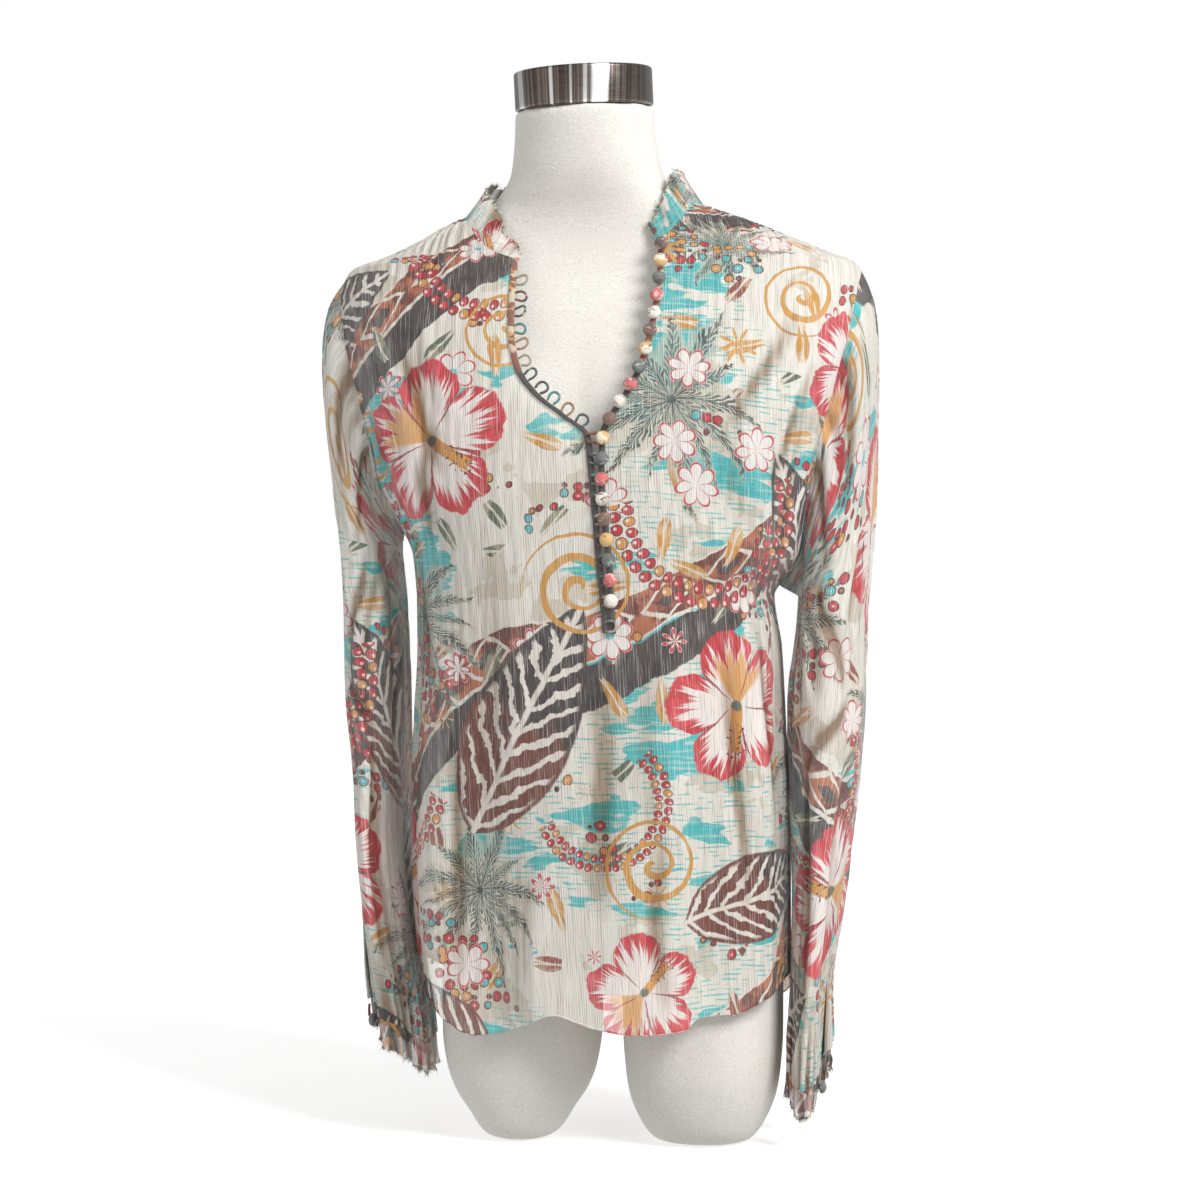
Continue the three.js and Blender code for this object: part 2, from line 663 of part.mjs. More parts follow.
// The height of the cuff's seam round the sleeve, from the outside, 0, over the front, 0.25, and inside, 0.5.
const CUFF_LINE = {
  [LEFT]: [
    { turn: 0, z: 112 },
    { turn: 0.25, z: 94 },
    { turn: 0.5, z: 72 },
    { turn: 0.75, z: 86 },
    { turn: 1, z: 112 },
  ],
  [RIGHT]: [
    { turn: 0, z: 82 },
    { turn: 0.25, z: 49 },
    { turn: 0.5, z: 66 },
    { turn: 0.75, z: 56 },
    { turn: 1, z: 82 },
  ],
};
const CUFF_SLIT = 1 / ARMHOLE_STEPS; // the turn of the sleeve's slit: outside, a little to the front

const SLEEVE_FOLDS = [
  { turn: 0.13, top: 560, foot: 330, wide: 0.035, depth: -7 },
  { turn: 0.25, top: 520, foot: 300, wide: 0.035, depth: 5 },
  { turn: 0.36, top: 430, foot: 260, wide: 0.035, depth: -6 },
  { turn: 0.62, top: 450, foot: 280, wide: 0.04, depth: 4 },
  { turn: 0.72, top: 540, foot: 320, wide: 0.035, depth: -6 },
  { turn: 0.86, top: 570, foot: 330, wide: 0.04, depth: -6 },
];

// One ring point of a hanging sleeve at height z, before the cap is shaped.
function sleeveRing(side, turn, z) {
  const size = (name) => read(SLEEVE[side], "z", z, name);
  const middleX = (size("inner") + size("outer")) / 2;
  const middleY = (size("front") + size("back")) / 2;
  const half = (size("outer") - size("inner")) / 2;
  const deep = (size("back") - size("front")) / 2;
  const angle = 2 * Math.PI * turn;
  const rounded = (v) => Math.sign(v) * Math.abs(v) ** (2 / SLEEVE_POWER);
  const x = half * rounded(Math.cos(angle));
  const y = -deep * rounded(Math.sin(angle));
  let inset = 0;
  for (const fold of SLEEVE_FOLDS) {
    inset += fold.depth * Math.exp(-(((turn - fold.turn) / fold.wide) ** 2)) * ramp(z, fold.top, fold.foot);
  }
  const scale = 1 + inset / Math.hypot(x, y);
  return new THREE.Vector3(side * (middleX + x * scale), middleY + y * scale, z);
}

// The height at which the cuff's seam crosses the sleeve at a given turn.
const cuffHeight = (side, turn) => read(CUFF_LINE[side], "turn", turn, "z");

// A point of a sleeve: `share` runs from the armhole, 0, over the cap's foot, CAP_SHARE, to the cuff, 1.
const CAP_SHARE = 0.34;
function sleevePoint(side, turn, share) {
  const top = SLEEVE_TOP[side];
  if (share >= CAP_SHARE) {
    const down = (share - CAP_SHARE) / (1 - CAP_SHARE);
    return sleeveRing(side, turn, mix(top, cuffHeight(side, turn), down));
  }
  const down = share / CAP_SHARE;
  const seam = armholePoint(side, turn);
  const ring = sleeveRing(side, turn, top);
  const point = seam.lerp(ring, down);
  const crown = (1 + Math.cos(2 * Math.PI * turn)) / 2;
  const bulge = Math.sin(Math.PI * down ** 0.5);
  point.x += side * (side === LEFT ? 16 : 12) * crown * bulge;
  return point;
}

const SLEEVE_SHARES = [
  0, 0.025, 0.06, 0.11, 0.17, 0.25, CAP_SHARE, 0.44, 0.55, 0.66, 0.77, 0.88, 0.94, 1,
];
const SLEEVE_COLUMNS = 2 * ARMHOLE_STEPS;

// A tube from rows of points, with a slit at the first column in the rows past `slitFrom`.
function sleevePanel(side) {
  const turns = Array.from({ length: SLEEVE_COLUMNS + 1 }, (_, i) => CUFF_SLIT + i / SLEEVE_COLUMNS);
  const grid = SLEEVE_SHARES.map((share) => turns.map((turn) => sleevePoint(side, turn % 1, share)));
  grid[0] = grid[0].map((p, i) => {
    const down = 1 - Math.abs(1 - 2 * (turns[i] % 1));
    return shifted(p, grid[1][i], armholeSetback(mix(1, UNDERARM, down)));
  });
  const rows = grid.length;
  const slitRows = SLEEVE_SHARES.filter((share) => share > 0.9).length;
  for (let row = rows - slitRows; row < rows; row++) {
    const open = 5 * (row - (rows - slitRows) + 1);
    const ends = grid[row];
    ends[0] = shifted(ends[0], ends[1], open / 2);
    ends[SLEEVE_COLUMNS] = shifted(ends[SLEEVE_COLUMNS], ends[SLEEVE_COLUMNS - 1], open / 2);
  }
  const { points, cells } = surface([grid], [side === RIGHT]);
  return thicken(points, cells, CLOTH);
}

const CUFF_GAP = 0.034; // the slit's opening at the cuff, as a share of a turn on each side

// The frame for a button or loop on a cuff: X along the cuff towards the front, Z out from the sleeve.
function cuffFrame(side, offset, out) {
  const drop = CUFF_HEIGHT * 0.35;
  const at = (turn) => sleeveRing(side, turn, cuffHeight(side, turn) - drop);
  const origin = at(CUFF_SLIT + offset);
  const x = at(CUFF_SLIT + offset + 0.01).sub(origin).normalize();
  const y = new THREE.Vector3(0, 0, 1).addScaledVector(x, -x.z).normalize();
  const z = x.clone().cross(y);
  if (side === RIGHT) {
    z.negate();
    x.negate();
  }
  origin.addScaledVector(z, out);
  return new THREE.Matrix4().makeBasis(y.clone().cross(z), y, z).setPosition(origin);
}

// A cuff: an open band below the sleeve. It is gathered smoothly at its seam and frilled at its free edge.
function cuffBand(side) {
  const columns = CUFF_WAVES * 4;
  const grid = [1.35, CUFF_HEIGHT * FRILL_SHARE, CUFF_HEIGHT].map((drop, level) =>
    Array.from({ length: columns + 1 }, (_, i) => {
      const turn = CUFF_SLIT + mix(CUFF_GAP, 1 - CUFF_GAP, i / columns);
      const seam = sleeveRing(side, turn % 1, cuffHeight(side, turn % 1));
      const below = sleeveRing(side, turn % 1, cuffHeight(side, turn % 1) - drop);
      const centre = sleeveRing(side, 0, seam.z).add(sleeveRing(side, 0.5, seam.z)).multiplyScalar(0.5);
      const outward = new THREE.Vector3(seam.x - centre.x, seam.y - centre.y, 0).normalize();
      const wave = Math.sin((2 * Math.PI * CUFF_WAVES * i) / columns);
      return below.addScaledVector(outward, wave * [0.2, 0.9, 2.8][level]);
    }),
  );
  const { points, cells } = surface([grid], [side === RIGHT]);
  return thicken(points, cells, CLOTH);
}

// The neck seam, from the slit's left end round the back to its right end, as a share from 0 to 1.
const SEAM_FRONT = 0.16; // the share of the seam that lies on each front
function neckSeam(share) {
  const side = share < 0.5 ? LEFT : RIGHT;
  const fromEnd = share < 0.5 ? share : 1 - share;
  if (fromEnd < SEAM_FRONT) {
    const row = mix(NECK, 1, fromEnd / SEAM_FRONT);
    const x = read(FRONT_INNER[side], "share", row, "x");
    const z = read(FRONT_INNER[side], "share", row, "z");
    return bodyPoint(angleAt(x, z), z);
  }
  const round = (fromEnd - SEAM_FRONT) / (0.5 - SEAM_FRONT);
  const sideZ = read(FRONT_INNER[side], "share", 1, "z");
  return bodyPoint(side * mix(QUARTER, Math.PI, round), mix(sideZ, NECK_SEAM_BACK, round));
}

const COLLAR_BASE = 1.1; // the collar starts this far above the neck seam
const COLLAR_LEAN = 36; // degrees that the collar leans towards the neck
const collarRise = (share) => {
  const fromEnd = Math.min(share, 1 - share);
  return COLLAR_HEIGHT * mix(share < 0.5 ? 0.25 : 0.5, 1, ramp(fromEnd, 0, SEAM_FRONT));
};

function collarPoint(share, height, out) {
  const foot = neckSeam(share);
  const inward = new THREE.Vector3(-4 - foot.x, -16 - foot.y, 0).normalize();
  const lean = radians(COLLAR_LEAN);
  return foot
    .addScaledVector(inward, height * Math.sin(lean) - out)
    .add(new THREE.Vector3(0, 0, height * Math.cos(lean)));
}

// The collar: a standing strip with soft gathers and a frilled free edge.
function collarBand() {
  const columns = COLLAR_WAVES * 4;
  const grid = [0, FRILL_SHARE, 1].map((level, row) =>
    Array.from({ length: columns + 1 }, (_, i) => {
      const share = i / columns;
      const height = mix(COLLAR_BASE, collarRise(share), level);
      const wave = Math.sin((2 * Math.PI * COLLAR_WAVES * i) / columns);
      return collarPoint(share, height, wave * [0, 0.8, 2.4][row]);
    }),
  );
  const { points, cells } = surface([grid], [true]);
  return thicken(points, cells, CLOTH);
}

const FIRST_BUTTON = SLIT_FOOT + 0.032; // share of the slit's edge at the lowest button

// A point by the slit's edge, made from the front panel's own points: `inwards` along the cloth from the
// edge, and moved out by `out`.
function edgePoint(side, share, inwards, out) {
  const grid = FRONT_GRID[side];
  const row = Math.min(FRONT_SHARES.findLastIndex((s) => s <= share), FRONT_SHARES.length - 2);
  const t = (share - FRONT_SHARES[row]) / (FRONT_SHARES[row + 1] - FRONT_SHARES[row]);
  const rowPoint = (i) => {
    const edge = grid[i][FRONT_COLUMNS];
    const inward = grid[i][FRONT_COLUMNS - 1].clone().sub(edge).normalize();
    const up = grid[i + 1][FRONT_COLUMNS].clone().sub(grid[i - 1][FRONT_COLUMNS]);
    const normal = inward.clone().cross(up).multiplyScalar(side).normalize();
    return edge.clone().addScaledVector(inward, inwards).addScaledVector(normal, out);
  };
  return rowPoint(row).lerp(rowPoint(row + 1), t);
}

// Shares of the slit's edge that are `pitch` apart along it, from `start` upwards.
function sharesEvery(side, pitch, start, count) {
  const found = [start];
  let before = edgePoint(side, start, 0, 0);
  let gone = 0;
  for (let share = start; share < 1 && found.length < count; share += 0.0005) {
    const here = edgePoint(side, share, 0, 0);
    gone += here.distanceTo(before);
    before = here;
    if (gone >= pitch) {
      found.push(share);
      gone -= pitch;
    }
  }
  return found;
}

function binding(side) {
  const rows = FRONT_SHARES.filter((share) => share >= SLIT_FOOT && share <= NECK);
  const shares = rows.map((share) => clamp(share, SLIT_FOOT + 0.004, NECK));
  const grid = [0.9, BINDING_WIDTH / 2, BINDING_WIDTH].map((inwards) =>
    shares.map((share) => edgePoint(side, share, inwards, BINDING_LIFT)),
  );
  const { points, cells } = surface([grid], [side === RIGHT]);
  return thicken(points, cells, BINDING_THICK);
}

// The frame that a button or loop is placed in: X along the cloth away from the slit, Y up the edge, Z out.
function edgeFrame(side, share, inwards, out) {
  const origin = edgePoint(side, share, inwards, out);
  const z = origin.clone().sub(edgePoint(side, share, inwards, out - 1)).normalize();
  const up = edgePoint(side, share + 0.004, inwards, out).sub(edgePoint(side, share - 0.004, inwards, out));
  const x = up.clone().cross(z).normalize();
  const y = z.clone().cross(x);
  return new THREE.Matrix4().makeBasis(x, y, z).setPosition(origin);
}

// A covered button: a cloth dome on a short shank.
function buttonGeometry() {
  const profile = [
    [0, 0],
    [SHANK_RADIUS, 0],
    [SHANK_RADIUS, 2.4],
    [BUTTON_RADIUS * 0.92, 2.6],
    [BUTTON_RADIUS, 3.6],
    [BUTTON_RADIUS * 0.78, 5.8],
    [BUTTON_RADIUS * 0.4, 6.9],
    [0, 7.2],
  ].map(([r, h]) => new THREE.Vector2(r, h));
  const geometry = new THREE.LatheGeometry(profile, 8);
  geometry.deleteAttribute("normal");
  geometry.deleteAttribute("uv");
  return mergeVertices(geometry.rotateX(QUARTER), 1e-3);
}

// A cord loop: it leaves the edge at `from`, is `wide` at `middle`, goes out to `reach` and comes back.
function loopGeometry(wide, from, middle, reach, height) {
  const at = (x, y) => new THREE.Vector3(x, y * wide, height);
  const path = new THREE.CatmullRomCurve3([
    at(from, -0.32),
    at(mix(from, middle, 0.55), -0.44),
    at(middle, -0.5),
    at(mix(middle, reach, 0.75), -0.36),
    at(reach, 0),
    at(mix(middle, reach, 0.75), 0.36),
    at(middle, 0.5),
    at(mix(from, middle, 0.55), 0.44),
    at(from, 0.32),
  ]);
  const circle = new THREE.Shape(
    Array.from({ length: 5 }, (_, i) => {
      const angle = (2 * Math.PI * i) / 5;
      return new THREE.Vector2(LOOP_TUBE * Math.cos(angle), LOOP_TUBE * Math.sin(angle));
    }),
  );
  const geometry = new THREE.ExtrudeGeometry(circle, { steps: 8, extrudePath: path });
  geometry.deleteAttribute("normal");
  geometry.deleteAttribute("uv");
  return mergeVertices(geometry, 1e-3);
}

const cloth = (color) =>
  new THREE.MeshStandardMaterial({ color, roughness: 0.75, metalness: 0, transparent: true, opacity: 0.9 });
const PRINT = cloth("#e3d9c4");
const TRIM = cloth("#4a3b38");
const COVER = [cloth("#efe9dc"), cloth("#c24b4d"), cloth("#6f7b78"), cloth("#d7a45c"), cloth("#7d4a3c")];
const JERSEY = new THREE.MeshStandardMaterial({ color: "#e6e1d8", roughness: 0.9, metalness: 0 });
const STEEL = new THREE.MeshStandardMaterial({ color: "#b9b6b2", roughness: 0.3, metalness: 1 });

const blouse = new THREE.Group();

function add(name, geometry, material, matrix) {
  const mesh = new THREE.Mesh(geometry, material);
  mesh.name = name;
  if (matrix) mesh.applyMatrix4(matrix);
  blouse.add(mesh);
}

add("dress_form", dressForm(), JERSEY);

const formTop = FORM[FORM.length - 1];
const capTurn = new THREE.Matrix4()
  .makeRotationY(radians(-NECK_TILT.sideways))
  .multiply(new THREE.Matrix4().makeRotationX(radians(NECK_TILT.forward)));
capTurn.setPosition(formTop.shiftX, formTop.shiftY, formTop.z + CAP.gap);
add("neck_cap", neckCap(), STEEL, capTurn);

add("front", frontPanel(), PRINT);
add("back", backPanel(), PRINT);
add("sleeve_right", sleevePanel(LEFT), PRINT);
add("sleeve_left", sleevePanel(RIGHT), PRINT);
add("collar", collarBand(), PRINT);
add("cuff_right", cuffBand(LEFT), PRINT);
add("cuff_left", cuffBand(RIGHT), PRINT);
add("binding_right", binding(LEFT), TRIM);
add("binding_left", binding(RIGHT), TRIM);

// Buttons up the slit's edge at +X, and the loops facing them. The lower ones are done up.
const SEAT = BINDING_LIFT + BINDING_THICK / 2 + SEAT_GAP;
const BUTTON_INSET = BINDING_WIDTH / 2 + 0.4;
const buttonShares = sharesEvery(RIGHT, BUTTON_PITCH, FIRST_BUTTON, BUTTONS_CLOSED + BUTTONS_OPEN);
buttonShares.forEach((share, i) => {
  const matrix = edgeFrame(RIGHT, share, BUTTON_INSET, SEAT);
  add("button_" + String(i + 1).padStart(2, "0"), buttonGeometry(), COVER[i % COVER.length], matrix);
});

// The share of the left edge that lies at height z.
const shareAt = (z) => {
  let share = SLIT_FOOT;
  while (edgePoint(LEFT, share, 0, 0).z < z) share += 0.0005;
  return share;
};
const lastClosed = edgePoint(RIGHT, buttonShares[BUTTONS_CLOSED - 1], 0, 0).z;
const openShares = sharesEvery(LEFT, OPEN_LOOP_PITCH, shareAt(lastClosed), BUTTONS_OPEN + 1).slice(1);
buttonShares.slice(0, BUTTONS_CLOSED).forEach((share, i) => {
  const frame = edgeFrame(RIGHT, share, BUTTON_INSET, SEAT);
  const height = edgePoint(RIGHT, share, 0, 0).z;
  const from = edgePoint(LEFT, shareAt(height), LOOP_INSET, SEAT).applyMatrix4(frame.clone().invert()).x;
  const loop = loopGeometry(8.6, from, 0, SHANK_RADIUS + LOOP_TUBE + 0.9, LOOP_TUBE + 0.25);
  add("loop_" + String(i + 1).padStart(2, "0"), loop, TRIM, frame);
});
openShares.forEach((share, i) => {
  const frame = edgeFrame(LEFT, share, -0.3, BINDING_LIFT);
  const name = "loop_" + String(BUTTONS_CLOSED + i + 1).padStart(2, "0");
  add(name, loopGeometry(9, 0, 5, 9, 0), TRIM, frame);
});
const emptyLoop = edgeFrame(LEFT, SLIT_FOOT + 0.009, LOOP_INSET, SEAT + LOOP_TUBE);
add("loop_00", loopGeometry(9, 0, 5, 9, 0), TRIM, emptyLoop);

// One button and one loop at each cuff's slit, on either side of its opening.
for (const { side, name, button, loop } of [
  { side: LEFT, name: "right", button: 0.064, loop: -0.037 },
  { side: RIGHT, name: "left", button: 0.064, loop: -0.029 },
]) {
  add("cuff_button_" + name, buttonGeometry(), COVER[2], cuffFrame(side, button, 1.5));
  add("cuff_loop_" + name, loopGeometry(9, 0, 4, 8, 0), TRIM, cuffFrame(side, loop, 2.1));
}

// The origin goes to the middle of the footprint.
const extent = new THREE.Box3().setFromObject(blouse, true);
const middle = extent.getCenter(new THREE.Vector3());
blouse.position.set(-middle.x, -middle.y, -extent.min.z);

export default blouse;
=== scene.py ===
# A sheer long-sleeved tunic blouse with a printed pattern, worn by a limbless dress form.
# The blouse's tables are in millimetres and its meshes in metres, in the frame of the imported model.
import json
import math

import bmesh
import bpy
import numpy as np
from mathutils import Matrix, Vector


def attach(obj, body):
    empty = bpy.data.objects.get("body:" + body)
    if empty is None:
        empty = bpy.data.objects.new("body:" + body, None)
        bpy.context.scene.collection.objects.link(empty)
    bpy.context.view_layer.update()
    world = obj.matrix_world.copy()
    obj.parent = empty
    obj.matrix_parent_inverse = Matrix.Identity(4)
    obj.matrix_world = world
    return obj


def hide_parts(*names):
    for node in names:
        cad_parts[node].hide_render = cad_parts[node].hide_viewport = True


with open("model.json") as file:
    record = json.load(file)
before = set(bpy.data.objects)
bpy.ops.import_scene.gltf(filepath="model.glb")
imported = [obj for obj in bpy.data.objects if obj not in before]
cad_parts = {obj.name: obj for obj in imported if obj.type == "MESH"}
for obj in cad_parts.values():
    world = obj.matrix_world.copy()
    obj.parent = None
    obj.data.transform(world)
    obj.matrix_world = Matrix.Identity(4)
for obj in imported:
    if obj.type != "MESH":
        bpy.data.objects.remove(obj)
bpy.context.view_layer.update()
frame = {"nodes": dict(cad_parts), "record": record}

# The camera.
# It stands level with the blouse's waist, a little to the wearer's left, far enough for a long lens.
mount = frame["record"]["mounts"][0]["pos_m"]
right_thigh = (-63.0, 3.0)  # the right thigh end's middle in the blouse's tables
shift = np.array([mount[0] * 1000 - right_thigh[0], mount[1] * 1000 - right_thigh[1], 0.0])
eye_turn = math.radians(9)
eye_distance = 2.2
waist_height = 0.428
aim = Vector((shift[0] / 1000, shift[1] / 1000, waist_height))
camera = bpy.data.objects.new("camera", bpy.data.cameras.new("camera"))
camera.data.lens = 82.5
camera.data.sensor_width = 36
camera.data.sensor_fit = "HORIZONTAL"
camera.location = aim + Vector((math.sin(eye_turn), -math.cos(eye_turn), 0)) * eye_distance
camera.rotation_euler = (math.radians(90), 0, eye_turn)
bpy.context.collection.objects.link(camera)
bpy.context.scene.camera = camera

# The dress form.
# A hard shell with a close woven cover in off-white, flecked with grey and beige slubs. It has a bust, a
# waist and a neck that leans forward, and it stands on two thigh ends with flat soles.
LEFT, RIGHT = -1, 1  # the sides at -X and +X


def table(names, *rows):
    """A table with named columns."""
    return dict(zip(names.split(), np.array(rows, float).T))


def read(rows, by, at, name):
    """The column `name` where the column `by` is `at`, along a curve with no overshoot."""
    x, y = rows[by], rows[name]
    slope = np.diff(y) / np.diff(x)
    tangent = np.concatenate([slope[:1], np.zeros(len(x) - 2), slope[-1:]])
    before, after = slope[:-1], slope[1:]
    same = before * after > 0
    total = np.where(same, before + after, 1)
    tangent[1:-1] = np.where(same, 2 * before * after / total, 0)
    at = np.clip(np.asarray(at, float), x[0], x[-1])
    row = np.clip(np.searchsorted(x, at) - 1, 0, len(x) - 2)
    span = x[row + 1] - x[row]
    t = (at - x[row]) / span
    start = (2 * t**3 - 3 * t**2 + 1) * y[row] + (t**3 - 2 * t**2 + t) * span * tangent[row]
    end = (3 * t**2 - 2 * t**3) * y[row + 1] + (t**3 - t**2) * span * tangent[row + 1]
    return start + end


def ramp(value, start, end):
    """A smooth step from 0 at `start` to 1 at `end`."""
    share = np.clip((value - start) / (end - start), 0, 1)
    return share * share * (3 - 2 * share)


def ring_point(half, front, back, power, angle):
    """X and Y on a rounded ring. Angle 0 is the front, and +90 degrees is +X."""
    across, along = np.sin(angle), np.cos(angle)
    depth = np.where(along > 0, front, back)
    x = half * np.sign(across) * np.abs(across) ** (2 / power)
    y = -depth * np.sign(along) * np.abs(along) ** (2 / power)
    return x, y


FORM_POWER = 2.3
ROUND_FROM = (765, 800)  # the neck turns from a rounded square to a circle between these heights
FORM = table(
    "z half front back shift_x shift_y",
    (118, 96, 50, 58, 9, 4),
    (130, 124, 74, 84, 8, 4),
    (150, 134, 83, 95, 8, 4),
    (190, 135, 86, 103, 7, 3),
    (230, 134, 87, 104, 5, 2),
    (270, 130, 87, 97, 3, 0),
    (310, 124, 85, 86, 2, 0),
    (350, 116, 81, 77, 1, 0),
    (390, 112, 78, 75, 0, 0),
    (430, 117, 80, 81, 0, 0),
    (470, 127, 85, 90, 0, 0),
    (510, 135, 91, 96, 0, 0),
    (550, 143, 95, 99, 0, 0),
    (590, 153, 92, 98, 0, 0),
    (630, 166, 82, 92, 0, 0),
    (660, 176, 71, 82, 0, 0),
    (683, 180, 60, 70, 0, -1),
    (695, 177, 56, 64, 1, -2),
    (703, 167, 54, 60, 3, -3),
    (714, 142, 52, 56, 3, -5),
    (726, 113, 51, 54, 0, -8),
    (738, 84, 51, 53, -4, -13),
    (748, 71, 51, 52, -6, -19),
    (762, 60.5, 52, 52, -6, -25),
    (788, 56, 53, 53, -6.5, -32),
    (814, 54.5, 54, 54, -6.5, -37),
)
NECK_TILT = {"from": 770, "forward": 5, "sideways": 2}
BUST = {"x": 70, "z": 552, "wide": 50, "high": 52, "depth": 24}


def form_point(angle, z):
    power = FORM_POWER + (2 - FORM_POWER) * ramp(z, *ROUND_FROM)
    x, y = ring_point(
        read(FORM, "z", z, "half"), read(FORM, "z", z, "front"), read(FORM, "z", z, "back"), power, angle
    )
    off_x, off_z = (np.abs(x) - BUST["x"]) / BUST["wide"], (z - BUST["z"]) / BUST["high"]
    near_bust = np.exp(-(off_x**2) - off_z**2)
    tilt = ramp(z, NECK_TILT["from"], FORM["z"][-1])
    forward = math.tan(math.radians(NECK_TILT["forward"])) * y
    sideways = math.tan(math.radians(NECK_TILT["sideways"])) * x
    y = y - BUST["depth"] * near_bust * np.maximum(0, np.cos(angle)) + read(FORM, "z", z, "shift_y")
    return np.stack([x + read(FORM, "z", z, "shift_x"), y, z + tilt * (forward + sideways)], -1)


THIGH = table(
    "z right left front back",
    (0, 22, 33, 33, 35),
    (3, 29, 40, 42, 44),
    (9, 34, 45, 50, 52),
    (21, 41, 52, 58, 60),
    (37, 52, 58, 65, 67),
    (56, 59, 61, 71, 73),
    (85, 63, 63, 75, 79),
    (120, 63, 63, 78, 86),
    (160, 60, 60, 76, 86),
)
THIGH_SPREAD = 73
THIGH_SHIFT = (10, 3)


def thigh_point(side, angle, z):
    half = read(THIGH, "z", z, "right" if side == LEFT else "left")
    x, y = ring_point(half, read(THIGH, "z", z, "front"), read(THIGH, "z", z, "back"), FORM_POWER, angle)
    return np.stack([x + THIGH_SHIFT[0] + side * THIGH_SPREAD, y + THIGH_SHIFT[1], z + 0 * x], -1)


def mesh_object(name, places, faces):
    """A mesh object from points in table millimetres."""
    mesh = bpy.data.meshes.new(name)
    mesh.from_pydata(((places + shift) / 1000).tolist(), [], faces)
    made = bpy.data.objects.new(name, mesh)
    bpy.context.collection.objects.link(made)
    return made


def tube_faces(levels, count):
    """The faces between the rings of a tube."""
    faces = []
    for level in range(levels - 1):
        for i in range(count):
            a, b = level * count + i, level * count + (i + 1) % count
            faces.append((a, b, b + count, a + count))
    return faces


def closed_loft(name, rings):
    """A closed solid through level rings of points."""
    levels, count = rings.shape[:2]
    ends = [rings[0].mean(0), rings[-1].mean(0)]
    places = np.concatenate([rings.reshape(-1, 3), ends])
    faces = tube_faces(levels, count)
    top = (levels - 1) * count
    for i in range(count):
        after = (i + 1) % count
        faces.append((after, i, len(places) - 2))
        faces.append((top + i, top + after, len(places) - 1))
    return mesh_object(name, places, faces)


def select_only(piece):
    bpy.ops.object.select_all(action="DESELECT")
    piece.select_set(True)
    bpy.context.view_layer.objects.active = piece


def apply_modifier(piece, kind, **settings):
    select_only(piece)
    modifier = piece.modifiers.new(kind.lower(), kind)
    for key, value in settings.items():
        setattr(modifier, key, value)
    bpy.ops.object.modifier_apply(modifier=modifier.name)


ring_angles, form_levels = np.meshgrid(
    np.linspace(0, 2 * np.pi, 129)[:-1], np.linspace(FORM["z"][0], FORM["z"][-1], 180)
)
form = closed_loft("form_cover", form_point(ring_angles, form_levels))
thigh_angles, thigh_levels = np.meshgrid(
    np.linspace(0, 2 * np.pi, 97)[:-1], np.concatenate([[0, 1, 2], np.linspace(3, THIGH["z"][-1], 50)])
)
for side in (LEFT, RIGHT):
    thigh = closed_loft("thigh", thigh_point(side, thigh_angles, thigh_levels))
    select_only(form)
    thigh.select_set(True)
    bpy.ops.object.join()
FORM_VOXEL = 0.0032
apply_modifier(form, "REMESH", mode="VOXEL", voxel_size=FORM_VOXEL, use_smooth_shade=True)
apply_modifier(form, "SMOOTH", factor=0.5, iterations=8)


class Field:
    """A socket that takes part in sums. Each sum adds a Math node."""

    def __init__(self, look, socket):
        self.look, self.socket = look, socket

    def sum(self, operation, *values):
        return self.look.math(operation, self, *values)

    def __add__(self, other):
        return self.look.math("ADD", self, other)

    def __radd__(self, other):
        return self.look.math("ADD", other, self)

    def __sub__(self, other):
        return self.look.math("SUBTRACT", self, other)

    def __rsub__(self, other):
        return self.look.math("SUBTRACT", other, self)

    def __mul__(self, other):
        return self.look.math("MULTIPLY", self, other)

    def __truediv__(self, other):
        return self.look.math("DIVIDE", self, other)

    def __pow__(self, other):
        return self.look.math("POWER", self, other)

    def __mod__(self, other):
        return self.look.math("FLOORED_MODULO", self, other)

    def __lt__(self, other):
        return self.look.math("LESS_THAN", self, other)

    def __gt__(self, other):
        return self.look.math("GREATER_THAN", self, other)

    def __abs__(self):
        return self.look.math("ABSOLUTE", self)


